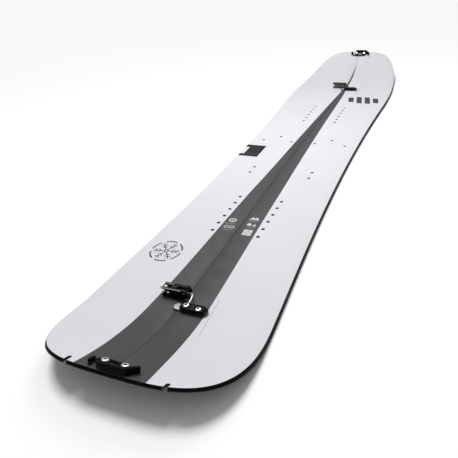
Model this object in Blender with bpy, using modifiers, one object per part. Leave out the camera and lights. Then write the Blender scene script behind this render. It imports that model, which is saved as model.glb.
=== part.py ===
# Two-piece touring snowboard with tip clips and cross latches.
# Units are metres, +Z up, +Y towards the nose, +X to the right when looking
# from tail to nose.  The flat running base lies on Z = 0.
#
# Along the board a station s is used: s = 0 is the rear-most binding insert,
# s grows towards the nose.  n is the height measured square to the top
# surface, 0 on the top surface and negative into the board.
import bpy
import bmesh
from math import sin, cos, pi, atan, radians, sqrt
from mathutils import Matrix, Vector

MM = 0.001

# ---------------------------------------------------------------- dimensions
# plan shape
TAIL_TIP = -352.8 * MM        # station of the tail tip on the top surface
NOSE_TIP = 1188.0 * MM        # station of the nose tip
WAIST_S = 211.0 * MM          # station of the narrowest place
WAIST_HALF = 118.9 * MM       # half width there
SIDECUT_TAIL = 0.0634         # half-width growth, per metre squared, rearwards
SIDECUT_NOSE = 0.0630         # the same, forwards
NOSE_HALF, NOSE_FROM, NOSE_P, NOSE_Q = 141.0 * MM, 832.4 * MM, 4.5, 2.4
TAIL_HALF, TAIL_FROM, TAIL_P, TAIL_Q = 130.0 * MM, -168.7 * MM, 3.4, 3.9
BLEND = 60.0                  # how sharply sidecut and tip curves meet
SEAM_HALF = 0.45 * MM         # half the gap between the two board halves
# rocker: where each end starts to lift, how far, and how it curves
TAIL_LIFT_S, TAIL_RISE, TAIL_POW = -209.6 * MM, 34.6 * MM, 1.7
NOSE_LIFT_S, NOSE_RISE, NOSE_POW = 939.8 * MM, 52.3 * MM, 2.2
# laminate, measured down from the top surface
T_TOTAL = 8.4 * MM
N_SHEET = (0.0, -0.8 * MM)
N_CORE = (-1.1 * MM, -6.2 * MM)
N_BASE = (-6.5 * MM, -8.4 * MM)
N_EDGE = (-6.5 * MM, -8.3 * MM)
TIP_THIN = 0.48              # share of the thickness left at the tips
FLARE = 1.2 * MM              # sidewall and edge stand out past the top sheet
WALL_W = 8.0 * MM             # sidewall width round the outline
SEAM_WALL_W = 5.0 * MM        # and along the seam
EDGE_W = 2.4 * MM             # steel edge width
LAP = 0.3 * MM                # running gap between neighbouring pieces
# binding inserts
PITCH = 25.4 * MM
ROW_X = 39.7 * MM
ROW_COUNT = 6
REAR_ROW_S, FRONT_ROW_S = 0.0, 580.2 * MM
TOUR_X, TOUR_HALF_W = 61.0 * MM, 33.8 * MM
TOE_S, TOE_AHEAD = 424.5 * MM, 28.5 * MM
HEEL_S = (237.9 * MM, 264.9 * MM)
HOLE_R = 3.3 * MM             # holes in the top sheet
INSERT_R, INSERT_BORE, INSERT_BED = 4.2 * MM, 2.5 * MM, 4.6 * MM
# skin notches at the tail
NOTCH_X = (54.8 * MM, 66.0 * MM)   # left and right of the seam
NOTCH_W, NOTCH_D = 5.5 * MM, 8.1 * MM
# tip clips
CLIP_X = (-11.2 * MM, 13.8 * MM)
TAIL_CLIP_S, NOSE_CLIP_S = -340.3 * MM, 1175.7 * MM
# cross latches: lever centre line, and the receiver's centre line behind it
LATCH_S = (-175.0 * MM, 912.5 * MM)
RECEIVER_BACK = 24.7 * MM
BOLT_HOLE_R = 2.5 * MM

BOARD = "touring_board"


# ---------------------------------------------------------------- shape laws
def lift(s):
    if s < TAIL_LIFT_S:
        return TAIL_RISE * ((TAIL_LIFT_S - s) / (TAIL_LIFT_S - TAIL_TIP)) ** TAIL_POW
    if s > NOSE_LIFT_S:
        return NOSE_RISE * ((s - NOSE_LIFT_S) / (NOSE_TIP - NOSE_LIFT_S)) ** NOSE_POW
    return 0.0


def slope(s):
    e = 0.05 * MM
    return (lift(s + e) - lift(s - e)) / (2 * e)


def thin(s):
    """Share of the full thickness at station s; the board thins to its tips."""
    t = max((TAIL_LIFT_S - s) / (TAIL_LIFT_S - TAIL_TIP), (s - NOSE_LIFT_S) / (NOSE_TIP - NOSE_LIFT_S), 0.0)
    t = min(t, 1.0)
    return 1.0 - (1.0 - TIP_THIN) * t * t * (3.0 - 2.0 * t)


def raw_on(s, n):
    if n < 0.0:
        n *= thin(s)
    d = slope(s)
    k = sqrt(1.0 + d * d)
    return s - n * d / k, T_TOTAL + lift(s) + n / k


# the frame's Y origin is half way between the ends, so that the board is
# centred on it
Y_MID = 0.5 * (raw_on(TAIL_TIP - FLARE, N_EDGE[1])[0] + raw_on(NOSE_TIP + FLARE, N_EDGE[1])[0])


def on_board(x, s, n=0.0):
    y, z = raw_on(s, n)
    return Vector((x, y - Y_MID, z))


def half_width(s, grow=0.0):
    """Half width of the outline at station s, grown outwards by grow."""
    if s >= WAIST_S:
        side = WAIST_HALF + SIDECUT_NOSE * (s - WAIST_S) ** 2
        a, b0, tip, p, q = NOSE_HALF, NOSE_FROM, NOSE_TIP, NOSE_P, NOSE_Q
        t = (s - b0) / (tip + grow - b0)
    else:
        side = WAIST_HALF + SIDECUT_TAIL * (s - WAIST_S) ** 2
        a, b0, tip, p, q = TAIL_HALF, TAIL_FROM, TAIL_TIP, TAIL_P, TAIL_Q
        t = (b0 - s) / (b0 - (tip - grow))
    t = min(max(t, 0.0), 1.0)
    end = (a + grow) * (1.0 - t ** q) ** (1.0 / p)
    side += grow
    if end < 1e-9:
        return 0.0
    return (side ** -BLEND + end ** -BLEND) ** (-1.0 / BLEND)


def half_loop(side, grow=0.0, seam=SEAM_HALF, tips=9, mids=11):
    """Closed outline of one board half as (x, s) points; side is -1 or +1."""
    stations = []
    for i in range(tips):
        a = 0.5 * pi * (1 - i / tips)
        stations.append(TAIL_FROM - (TAIL_FROM - (TAIL_TIP - grow)) * sin(a))
    for i in range(mids):
        stations.append(TAIL_FROM + (NOSE_FROM - TAIL_FROM) * i / (mids - 1))
    for i in range(1, tips + 1):
        a = 0.5 * pi * i / tips
        stations.append(NOSE_FROM + (NOSE_TIP + grow - NOSE_FROM) * sin(a))
    pts = [(max(half_width(s, grow), seam), s) for s in stations]
    pts = [(side * x, s) for x, s in pts]
    return pts


def circle(cx, cy, r, n, turn=0.0):
    return [(cx + r * cos(turn + 2 * pi * i / n), cy + r * sin(turn + 2 * pi * i / n)) for i in range(n)]


# ---------------------------------------------------------------- scene setup
for ob in list(bpy.data.objects):
    bpy.data.objects.remove(ob, do_unlink=True)
parts = bpy.data.collections.new(BOARD)
bpy.context.scene.collection.children.link(parts)
cutters = bpy.data.collections.new("cutters")
bpy.context.scene.collection.children.link(cutters)


def material(name, colour, rough, metal=0.0):
    m = bpy.data.materials.new(name)
    m.use_nodes = True
    b = m.node_tree.nodes["Principled BSDF"]
    b.inputs["Base Color"].default_value = (*colour, 1.0)
    b.inputs["Roughness"].default_value = rough
    b.inputs["Metallic"].default_value = metal
    return m


FINISH = {
    "sheet": ((0.83, 0.83, 0.86), 0.30, 0.0),
    "wall": ((0.012, 0.012, 0.014), 0.45, 0.0),
    "wood": ((0.62, 0.46, 0.28), 0.70, 0.0),
    "base": ((0.02, 0.02, 0.022), 0.35, 0.0),
    "steel": ((0.55, 0.55, 0.56), 0.30, 1.0),
    "black_alu": ((0.015, 0.015, 0.017), 0.35, 0.6),
    "bright_alu": ((0.72, 0.68, 0.62), 0.28, 1.0),
    "screw": ((0.80, 0.78, 0.73), 0.25, 1.0),
    "nylon": ((0.03, 0.03, 0.03), 0.55, 0.0),
}


def mesh_of(ob):
    """Evaluated mesh of an object, welded, as a plain mesh."""
    dg = bpy.context.evaluated_depsgraph_get()
    me = bpy.data.meshes.new_from_object(ob.evaluated_get(dg))
    bm = bmesh.new()
    bm.from_mesh(me)
    bmesh.ops.remove_doubles(bm, verts=bm.verts, dist=1e-6)
    bmesh.ops.dissolve_degenerate(bm, dist=1e-7, edges=bm.edges)
    bm.to_mesh(me)
    bm.free()
    return me


def flat_shape(name, loops, z0, z1):
    """Closed solid from flat outlines (the first is outer, others are holes)."""
    cu = bpy.data.curves.new(name, "CURVE")
    cu.dimensions = "2D"
    cu.fill_mode = "BOTH"
    cu.extrude = abs(z1 - z0) / 2
    for pts in loops:
        sp = cu.splines.new("POLY")
        sp.points.add(len(pts) - 1)
        for p, (x, y) in zip(sp.points, pts):
            p.co = (x, y, 0.0, 1.0)
        sp.use_cyclic_u = True
    ob = bpy.data.objects.new(name, cu)
    parts.objects.link(ob)
    me = mesh_of(ob)
    me.transform(Matrix.Translation((0, 0, (z0 + z1) / 2)))
    bpy.data.objects.remove(ob, do_unlink=True)
    out = bpy.data.objects.new(name, me)
    parts.objects.link(out)
    return out


def side_shape(name, loops, y0, y1):
    """The same, drawn in the X-Z plane and given its width along Y."""
    ob = flat_shape(name, loops, -y1, -y0)
    ob.data.transform(Matrix.Rotation(pi / 2, 4, "X"))
    return ob


def drum(name, r, z0, z1, n=16, at=(0, 0), r2=None):
    me = bpy.data.meshes.new(name)
    bm = bmesh.new()
    bmesh.ops.create_cone(bm, cap_ends=True, segments=n, radius1=r, radius2=r if r2 is None else r2,
                          depth=abs(z1 - z0),
                          matrix=Matrix.Translation((at[0], at[1], (z0 + z1) / 2)))
    bm.to_mesh(me)
    bm.free()
    ob = bpy.data.objects.new(name, me)
    parts.objects.link(ob)
    return ob


def brick(name, lo, hi):
    me = bpy.data.meshes.new(name)
    bm = bmesh.new()
    bmesh.ops.create_cube(bm, size=1.0)
    for v in bm.verts:
        v.co = Vector([lo[i] + (v.co[i] + 0.5) * (hi[i] - lo[i]) for i in range(3)])
    bm.to_mesh(me)
    bm.free()
    ob = bpy.data.objects.new(name, me)
    parts.objects.link(ob)
    return ob


def turned(name, profile, n=16):
    """Solid of revolution about Z from (radius, height) points, top to bottom."""
    me = bpy.data.meshes.new(name)
    me.from_pydata([(r, 0, z) for r, z in profile], [(i, i + 1) for i in range(len(profile) - 1)], [])
    ob = bpy.data.objects.new(name, me)
    parts.objects.link(ob)
    sc = ob.modifiers.new("turn", "SCREW")
    sc.axis = "Z"
    sc.angle = 2 * pi
    sc.steps = n
    sc.render_steps = n
    sc.use_merge_vertices = True
    sc.merge_threshold = 1e-6
    new = mesh_of(ob)
    bpy.data.objects.remove(ob, do_unlink=True)
    bm = bmesh.new()
    bm.from_mesh(new)
    bmesh.ops.recalc_face_normals(bm, faces=bm.faces)
    bm.to_mesh(new)
    bm.free()
    out = bpy.data.objects.new(name, new)
    parts.objects.link(out)
    return out


def combine(ob, others, mode="UNION"):
    """Join or cut ob with the others and leave one plain mesh."""
    for i, o in enumerate(others):
        if mode == "DIFFERENCE" and o.name in parts.objects:
            parts.objects.unlink(o)
            cutters.objects.link(o)
            o.hide_render = True
            o.display_type = "WIRE"
        b = ob.modifiers.new("b%d" % i, "BOOLEAN")
        b.operation = mode
        b.solver = "EXACT"
        b.object = o
    me = mesh_of(ob)
    ob.modifiers.clear()
    ob.data = me
    if mode == "UNION":
        for o in others:
            bpy.data.objects.remove(o, do_unlink=True)
    return ob


def cut(ob, tools, drop=True):
    combine(ob, tools, "DIFFERENCE")
    if drop:
        for o in tools:
            bpy.data.objects.remove(o, do_unlink=True)
    return ob


def finish(ob, kind, name=None):
    c, r, m = FINISH[kind]
    name = name or ob.name
    ob.name = name
    ob.data.name = name
    ob.data.materials.clear()
    ob.data.materials.append(material(name, c, r, m))
    ob.data.shade_smooth()
    ob.data.set_sharp_from_angle(angle=radians(32))
    return ob


# ---------------------------------------------------------------- the laminate
BEND_STATIONS = [TAIL_LIFT_S + (TAIL_TIP - TAIL_LIFT_S) * (i / 7) for i in range(7)] + \
                [NOSE_LIFT_S + (NOSE_TIP - NOSE_LIFT_S) * (i / 9) for i in range(9)]


def bend(ob):
    """Carry a flat layer, drawn in (x, s, n), onto the rockered board."""
    bm = bmesh.new()
    bm.from_mesh(ob.data)
    bmesh.ops.dissolve_limit(bm, angle_limit=0.002, verts=bm.verts, edges=bm.edges)
    for s in BEND_STATIONS:
        bmesh.ops.bisect_plane(bm, geom=bm.verts[:] + bm.edges[:] + bm.faces[:], dist=1e-6,
                               plane_co=(0, s, 0), plane_no=(0, 1, 0))
    for v in bm.verts:
        v.co = on_board(v.co.x, v.co.y, v.co.z)
    bmesh.ops.triangulate(bm, faces=[f for f in bm.faces if len(f.verts) > 4])
    bm.to_mesh(ob.data)
    bm.free()
    return ob


def insert_places(side):
    rows = {
        "rear_insert_row": [(side * ROW_X, REAR_ROW_S + i * PITCH) for i in range(ROW_COUNT)],
        "front_insert_row": [(side * ROW_X, FRONT_ROW_S + i * PITCH) for i in range(ROW_COUNT)],
        "touring_toe_inserts": [(side * (TOUR_X - TOUR_HALF_W), TOE_S), (side * TOUR_X, TOE_S + TOE_AHEAD),
                                (side * (TOUR_X + TOUR_HALF_W), TOE_S)],
        "touring_heel_inserts": [(side * TOUR_X, s) for s in HEEL_S],
    }
    return rows


def bolt_places(side):
    clip_x = CLIP_X[0] if side < 0 else CLIP_X[1]
    out = [(clip_x, TAIL_CLIP_S), (clip_x, NOSE_CLIP_S)]
    for s in LATCH_S:
        if side < 0:
            out += [(-26.0 * MM, s), (-15.5 * MM, s)]
        else:
            out += [(12.4 * MM, s - RECEIVER_BACK - 0.7 * MM), (29.6 * MM, s - RECEIVER_BACK - 0.7 * MM)]
    return out


for side, tag in ((-1, "left"), (1, "right")):
    pads = insert_places(side)
    holes_top = [circle(x, s, HOLE_R, 8, 0.13) for row in pads.values() for x, s in row]
    bolts = [circle(x, s, BOLT_HOLE_R, 8) for x, s in bolt_places(side)]
    nx = NOTCH_X[0] if side < 0 else NOTCH_X[1]
    notch = flat_shape("notch_" + tag, [[(side * (nx - NOTCH_W / 2), TAIL_TIP - 12 * MM),
                                         (side * (nx + NOTCH_W / 2), TAIL_TIP - 12 * MM)] +
                                        [(side * (nx + NOTCH_W / 2 * cos(pi * k / 6)),
                                          TAIL_TIP + 4.6 * MM + NOTCH_D - NOTCH_W / 2 + NOTCH_W / 2 * sin(pi * k / 6))
                                         for k in range(0, 7)]], 3 * MM, -12 * MM)

    sheet = flat_shape("topsheet_" + tag, [half_loop(side)] + holes_top + bolts, *N_SHEET)
    cut(sheet, [notch], drop=False)
    finish(bend(sheet), "sheet")

    wall = flat_shape("sidewall_" + tag, [half_loop(side, 0.6 * MM),
                                          half_loop(side, -WALL_W, SEAM_HALF + SEAM_WALL_W, tips=7, mids=9)], *N_CORE)
    cut(wall, [notch], drop=False)
    finish(bend(wall), "wall")

    edge = flat_shape("steel_edge_" + tag, [half_loop(side, FLARE),
                                            half_loop(side, FLARE - EDGE_W, SEAM_HALF + EDGE_W)], *N_EDGE)
    cut(edge, [notch], drop=False)
    finish(bend(edge), "steel")

    base = flat_shape("base_" + tag, [half_loop(side, FLARE - EDGE_W - LAP, SEAM_HALF + EDGE_W + LAP)], *N_BASE)
    cut(base, [notch], drop=False)
    finish(bend(base), "base")

    # core: bored for every insert and bolt; the inserts' joining strip lies in
    # a shallow groove along each row
    grow_in = -WALL_W - LAP
    beds = [circle(x, s, INSERT_BED, 8, 0.13) for row in pads.values() for x, s in row]
    core = flat_shape("core_" + tag, [half_loop(side, grow_in, SEAM_HALF + SEAM_WALL_W + LAP, tips=7, mids=9)]
                      + beds + bolts, *N_CORE)
    grooves = []
    for key, row in pads.items():
        for (xa, sa), (xb, sb) in zip(row, row[1:]):
            d = Vector((xb - xa, sb - sa))
            u = d.normalized()
            w = Vector((-u.y, u.x)) * (1.8 * MM)
            a, b = Vector((xa, sa)), Vector((xb, sb))
            grooves.append(flat_shape("groove", [[tuple(a - w), tuple(b - w), tuple(b + w), tuple(a + w)]],
                                      -4.0 * MM, -7.5 * MM))
    cut(core, grooves)
    finish(bend(core), "wood")

    # threaded inserts, each row one piece: bushes on a thin joining strip
    for key, row in pads.items():
        bushes = [drum("bush", INSERT_R, -1.2 * MM, -5.0 * MM, 8, at=p) for p in row]
        links = []
        for (xa, sa), (xb, sb) in zip(row, row[1:]):
            d = Vector((xb - xa, sb - sa))
            u = d.normalized()
            w = Vector((-u.y, u.x)) * (1.4 * MM)
            a, b = Vector((xa, sa)), Vector((xb, sb))
            links.append(flat_shape("link", [[tuple(a - w), tuple(b - w), tuple(b + w), tuple(a + w)]],
                                    -4.35 * MM, -4.95 * MM))
        body = combine(bushes[0], bushes[1:] + links)
        cut(body, [drum("bore", INSERT_BORE, 1 * MM, -4.2 * MM, 6, at=p) for p in row])
        body.name = key + "_" + tag
        for v in body.data.vertices:
            v.co = on_board(v.co.x, v.co.y, v.co.z)
        finish(body, "steel")


# ---------------------------------------------------------------- fasteners
def button_screw(name, head_r=4.2 * MM, head_h=2.3 * MM, seat=0.0, shank_r=2.0 * MM, tip=-4.8 * MM, socket=1.6 * MM):
    """Button-head screw; seat is the height of the underside of its head."""
    top = seat + head_h
    prof = [(0.0, top - 1.4 * MM), (socket, top - 1.4 * MM), (socket, top), (head_r * 0.7, top - 0.1 * MM),
            (head_r, seat + 0.5 * MM), (head_r, seat), (shank_r, seat), (shank_r, tip), (0.0, tip)]
    return finish(turned(name, prof, 10), "screw")


def place(ob, x, s, side_v=1.0):
    """Stand a piece, built at its own origin, on the top surface at (x, s)."""
    ob.location = on_board(x, s)
    ob.rotation_euler = (atan(slope(s)), 0, 0)
    return ob


# ---------------------------------------------------------------- tip clips
def tip_clip(end, s0, out):
    """Two hooking arms; out is -1 where the board ends towards -s, else +1."""
    left_x, right_x = CLIP_X
    span = right_x - left_x

    def m(pts):
        return [(x * MM, out * -1 * y * MM) for x, y in pts]
    sp = span / MM
    # left arm: boss, web and the long front bar that wraps the other boss
    bar = flat_shape("bar", [m([(-4.0, -9.2), (-2.4, -8.5), (27.6, -8.7), (33.6, -1.6), (40.6, 3.6), (43.4, 0.8),
                                (37.5, -4.9), (31.2, -12.0), (29.2, -12.6), (4.0, -12.6), (-3.4, -11.6)])],
                     0.9 * MM, 8.6 * MM)
    web = flat_shape("web", [m([(-4.6, -9.4), (-5.2, -2.0), (-4.0, 3.0), (0.0, 5.0), (4.0, 3.2), (6.0, -4.0),
                                (9.5, -9.4)])], 3.2 * MM, 4.3 * MM)
    boss = drum("boss", 5.6 * MM, 0.5 * MM, 4.9 * MM, 16)
    arm = combine(web, [bar, boss])
    cut(arm, [drum("bore", 3.6 * MM, -1 * MM, 6.5 * MM, 16)])
    finish(arm, "black_alu", end + "_clip_arm_left")
    place(arm, left_x, s0)
    # right arm: boss and the low finger that passes behind the other boss
    boss = drum("boss", 5.6 * MM, 0.5 * MM, 4.9 * MM, 16)
    low = flat_shape("finger", [m([(5.0, 3.5), (2.0, 7.5), (-8.0, 9.6), (-22.5, 10.8), (-34.0, 9.4), (-41.0, 4.2),
                                   (-43.8, -2.0), (-42.2, -7.6), (-38.6, -10.4), (-36.8, -8.6), (-38.0, -4.0),
                                   (-36.4, 1.0), (-32.0, 5.6), (-25.5, 7.4), (-16.5, 6.6), (-8.5, 3.5), (-5.0, -2.0),
                                   (-3.0, -7.0), (3.5, -7.0), (6.0, -2.0)])], 1.25 * MM, 2.95 * MM)
    knob = flat_shape("knob", [m([(-41.4, 4.0), (-43.8, -1.6), (-42.4, -7.0), (-39.4, -6.4), (-38.8, 0.4),
                                  (-39.4, 3.0)])], 1.6 * MM, 6.0 * MM)
    arm = combine(low, [boss, knob])
    cut(arm, [drum("bore", 3.6 * MM, -1 * MM, 6.5 * MM, 16)])
    finish(arm, "black_alu", end + "_clip_arm_right")
    place(arm, right_x, s0)
    for x, tag in ((left_x, "left"), (right_x, "right")):
        bush = turned("b", [(2.35 * MM, 5.2 * MM), (3.25 * MM, 5.2 * MM), (3.25 * MM, 0.4 * MM), (2.35 * MM, 0.4 * MM),
                            (2.35 * MM, 5.2 * MM)], 12)
        finish(bush, "nylon", end + "_clip_bush_" + tag)
        place(bush, x, s0)
        scr = button_screw(end + "_clip_screw_" + tag, head_r=4.3 * MM, head_h=2.0 * MM, seat=5.4 * MM, tip=-2.6 * MM)
        place(scr, x, s0)


tip_clip("tail", TAIL_CLIP_S, -1)
tip_clip("nose", NOSE_CLIP_S, 1)


# ---------------------------------------------------------------- cross latches
PIVOT = (0.5 * MM, 10.5 * MM)         # lever hinge, x and height
HOOK_PIVOT = (-7.5 * MM, 7.0 * MM)    # where the hook hangs in the lever
WIRE_R = 1.2 * MM


def mm(pts):
    return [(x * MM, y * MM) for x, y in pts]


def cross_latch(end, s0):
    origin = (0.0, s0)

    def put(ob, at=(0, 0, 0)):
        ob.data.transform(Matrix.Translation([-a for a in at]))
        ob.location = on_board(0.0, s0) + Vector(at)
        return ob

    px, pz = PIVOT
    # channel base: floor plate with a flared foot, two side walls with ears
    floor = flat_shape("floor", [mm([(-33.5, -7.6), (-17.0, -9.2), (-6.0, -11.6), (-1.2, -12.0), (-1.2, 7.6),
                                     (-33.5, 7.6)])] + [circle(-26.0 * MM, 0, 2.4 * MM, 10),
                                                        circle(-15.5 * MM, 0, 2.4 * MM, 10)], 0.4 * MM, 2.4 * MM)
    ear = [(px / MM + 3.9 * cos(a), pz / MM + 3.9 * sin(a)) for a in [radians(160 - 20 * k) for k in range(8)]]
    wall = mm([(-33.0, 0.4), (-33.0, 4.4), (-29.5, 5.8), (-23.0, 6.4), (-19.0, 8.6), (-14.0, 9.6), (-5.0, 10.1)] + ear + [(5.4, 8.0), (5.4, 5.0), (1.5, 3.0), (-1.2, 2.8), (-1.2, 0.4)])
    walls = [side_shape("wall", [wall, circle(px, pz, 1.5 * MM, 12)], a * MM, b * MM)
             for a, b in ((-7.6, -5.9), (5.9, 7.6))]
    base = combine(floor, walls)
    finish(base, "black_alu", end + "_latch_base")
    put(base)
    for x, tag in ((-26.0 * MM, "outer"), (-15.5 * MM, "inner")):
        prof = [(0.0, 3.0 * MM), (1.2 * MM, 3.0 * MM), (1.2 * MM, 4.0 * MM), (2.6 * MM, 4.0 * MM), (3.3 * MM, 3.4 * MM),
                (3.3 * MM, 2.75 * MM), (2.0 * MM, 2.75 * MM), (2.0 * MM, -4.8 * MM), (0.0, -4.8 * MM)]
        scr = finish(turned("s", prof, 8), "screw", end + "_latch_base_screw_" + tag)
        scr.location = on_board(x, s0)

    # lever: top frame with finger loop, two cheeks, a cross block
    r = 4.6
    corner = [(-36.6 + r - r * cos(radians(a)), -7.2 + r - r * sin(radians(a))) for a in range(90, -1, -18)]
    outer = corner + [(x, -y) for x, y in reversed(corner)] + \
        [(-4.6, 7.2), (-4.6, 5.4), (3.4, 5.4), (3.4, 2.3), (-12.5, 2.3), (-12.5, -2.3), (3.4, -2.3), (3.4, -5.4),
         (-4.6, -5.4), (-4.6, -7.2)]
    r = 2.0
    win = [(-33.0 + r - r * cos(radians(a)), -4.3 + r - r * sin(radians(a))) for a in range(90, -1, -30)]
    window = win + [(x, -y) for x, y in reversed(win)] + [(-20.6, 4.3), (-20.6, -4.3)]
    top = flat_shape("top", [mm(outer), mm(window)], 11.0 * MM, 14.0 * MM)
    eye = [(px / MM + 3.2 * cos(a), pz / MM + 3.2 * sin(a)) for a in [radians(-110 + 20 * k) for k in range(8)]]
    cheek = mm([(-33.0, 11.5), (-29.0, 9.0), (-21.0, 5.0), (-10.0, 4.4), (-4.5, 4.6), (-2.0, 6.6)] + eye +
               [(3.2, 13.6), (-33.0, 13.6)])
    cheeks = [side_shape("cheek", [cheek], a * MM, b * MM) for a, b in ((-5.4, -3.2), (3.2, 5.4))]
    block = brick("block", (-20.0 * MM, -4.0 * MM, 6.2 * MM), (-12.8 * MM, 4.0 * MM, 13.7 * MM))
    lever = combine(top, cheeks + [block])
    cut(lever, [side_shape("bore", [circle(px, pz, 1.5 * MM, 12)], -7 * MM, 7 * MM),
                side_shape("bore", [circle(*HOOK_PIVOT, 1.35 * MM, 12)], -7 * MM, 7 * MM)])
    finish(lever, "bright_alu", end + "_latch_lever")
    put(lever, (px, 0, pz))

    for sgn, tag in ((-1, "tailward"), (1, "noseward")):
        prof = [(0.0, 8.5 * MM), (1.9 * MM, 8.5 * MM), (1.9 * MM, 7.95 * MM), (1.15 * MM, 7.95 * MM),
                (1.15 * MM, 3.4 * MM), (0.0, 3.4 * MM)]
        pin = turned("p", prof, 10)
        pin.data.transform(Matrix.Rotation(radians(90 if sgn < 0 else -90), 4, "X"))
        finish(pin, "steel", end + "_latch_pin_" + tag)
        pin.location = on_board(0.0, s0) + Vector((px, 0, pz))

    hx, hz = HOOK_PIVOT
    pin = drum("hp", 1.0 * MM, -5.3 * MM, 5.3 * MM, 12)
    pin.data.transform(Matrix.Rotation(pi / 2, 4, "X"))
    finish(pin, "steel", end + "_hook_pin")
    pin.location = on_board(0.0, s0) + Vector((hx, 0, hz))

    # wire hook: an eye on its pin and a bent rod to the receiver's catch
    eye_ob = turned("eye", [(1.35 * MM, 1.8 * MM), (2.5 * MM, 1.8 * MM), (2.5 * MM, -1.8 * MM), (1.35 * MM, -1.8 * MM),
                            (1.35 * MM, 1.8 * MM)], 14)
    eye_ob.data.transform(Matrix.Rotation(pi / 2, 4, "X"))
    eye_ob.data.transform(Matrix.Translation((hx, 0, hz)))
    route = [(-5.6, 0, 7.0), (2.0, 0, 7.0), (6.0, -0.3, 7.9), (9.6, -2.2, 8.3), (11.7, -5.6, 8.0), (12.3, -10.5, 7.2),
             (12.4, -16.0, 6.3), (12.4, -20.3, 6.0)]
    cu = bpy.data.curves.new("wire", "CURVE")
    cu.dimensions = "3D"
    cu.bevel_depth = WIRE_R
    cu.bevel_resolution = 1
    cu.use_fill_caps = True
    sp = cu.splines.new("POLY")
    sp.points.add(len(route) - 1)
    for p, c in zip(sp.points, route):
        p.co = (c[0] * MM, c[1] * MM, c[2] * MM, 1.0)
    wire = bpy.data.objects.new("wire", cu)
    parts.objects.link(wire)
    wm = mesh_of(wire)
    bpy.data.objects.remove(wire, do_unlink=True)
    wire = bpy.data.objects.new("wire", wm)
    parts.objects.link(wire)
    bm = bmesh.new()
    bm.from_mesh(wm)
    bmesh.ops.recalc_face_normals(bm, faces=bm.faces)
    bm.to_mesh(wm)
    bm.free()
    hook = combine(eye_ob, [wire])
    cut(hook, [side_shape("bore", [circle(hx, hz, 1.35 * MM, 14)], -3 * MM, 3 * MM)])
    finish(hook, "screw", end + "_wire_hook")
    put(hook, (hx, 0, hz))

    # receiver on the right half: pad, steel tongue over the seam, black bar
    yc = -RECEIVER_BACK / MM
    bolts = [circle(12.4 * MM, (yc - 0.7) * MM, 2.4 * MM, 10), circle(29.6 * MM, (yc - 0.7) * MM, 2.4 * MM, 10)]
    tip = [(-1.6 + 5.6 * cos(radians(a)), yc + 0.6 + 6.6 * sin(radians(a))) for a in range(90, 271, 20)]
    pad = flat_shape("pad", [mm([(38.0, yc + 5.6)] + tip + [(4.9, yc - 6.0), (5.3, yc - 4.9), (38.0, yc - 4.9)])] + bolts, 0.35 * MM, 1.2 * MM)
    finish(put(pad), "nylon", end + "_receiver_pad")
    tip = [(-1.2 + 5.0 * cos(radians(a)), yc + 0.8 + 5.9 * sin(radians(a))) for a in range(90, 271, 20)]
    tongue = flat_shape("tongue", [mm([(37.0, yc + 5.0)] + tip + [(37.0, yc - 4.4)])] + bolts, 1.5 * MM, 2.9 * MM)
    finish(put(tongue), "steel", end + "_receiver_tongue")
    ends = [(39.0 + 3.8 * cos(radians(a)), yc - 0.2 + 5.9 * sin(radians(a))) for a in range(90, -91, -22)]
    outline = [(4.4, yc + 5.2), (5.6, yc + 6.1), (37.0, yc + 6.1)] + ends + [(6.5, yc - 6.4), (4.4, yc - 5.2)]
    bar = flat_shape("bar", [mm(outline)] + bolts, 3.2 * MM, 7.9 * MM)
    skirt = flat_shape("skirt", [mm([(6.0, yc - 5.3), (38.5, yc - 5.3), (38.5, yc - 6.05), (8.0, yc - 6.3), (6.0, yc - 5.5)])],
                       0.6 * MM, 4.0 * MM)
    bar = combine(bar, [skirt])
    cut(bar, [brick("catch", (9.7 * MM, (yc + 3.7) * MM, 4.3 * MM), (16.0 * MM, (yc + 9.0) * MM, 12 * MM)),
              drum("sink", 5.2 * MM, 5.4 * MM, 12 * MM, 16, at=(29.6 * MM, (yc - 0.7) * MM)),
              brick("step", (37.2 * MM, (yc - 9) * MM, 5.4 * MM), (50 * MM, (yc + 9) * MM, 12 * MM))])
    finish(put(bar), "black_alu", end + "_receiver_bar")
    for x, seat, tag in ((12.4, 8.1, "inner"), (29.6, 5.7, "outer")):
        scr = button_screw(end + "_receiver_screw_" + tag, head_r=4.15 * MM, head_h=2.0 * MM, seat=seat * MM)
        scr.location = on_board(x * MM, s0 + (yc - 0.7) * MM)


for end, s0 in (("rear", LATCH_S[0]), ("front", LATCH_S[1])):
    cross_latch(end, s0)

# the notch cutters stay only as guides
for ob in list(cutters.objects):
    ob.hide_render = True
    ob.display_type = "WIRE"
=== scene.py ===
from math import sin, cos, tan, pi, atan, radians, sqrt, hypot

import bpy
import bmesh
import numpy as np
from mathutils import Matrix, Vector
from mathutils.geometry import delaunay_2d_cdt


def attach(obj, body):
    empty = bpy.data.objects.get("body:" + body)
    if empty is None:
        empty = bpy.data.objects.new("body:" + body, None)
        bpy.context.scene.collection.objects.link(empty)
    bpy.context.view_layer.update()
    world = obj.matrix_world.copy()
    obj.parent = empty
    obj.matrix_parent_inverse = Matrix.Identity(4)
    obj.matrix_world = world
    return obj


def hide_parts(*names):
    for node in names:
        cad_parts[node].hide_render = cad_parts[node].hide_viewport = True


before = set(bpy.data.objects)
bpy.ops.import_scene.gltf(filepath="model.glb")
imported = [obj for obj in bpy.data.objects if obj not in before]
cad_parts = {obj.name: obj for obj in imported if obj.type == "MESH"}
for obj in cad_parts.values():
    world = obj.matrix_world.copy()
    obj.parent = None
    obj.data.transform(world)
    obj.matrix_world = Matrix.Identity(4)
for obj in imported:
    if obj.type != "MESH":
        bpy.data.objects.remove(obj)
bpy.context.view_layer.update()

MM = 0.001

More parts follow.
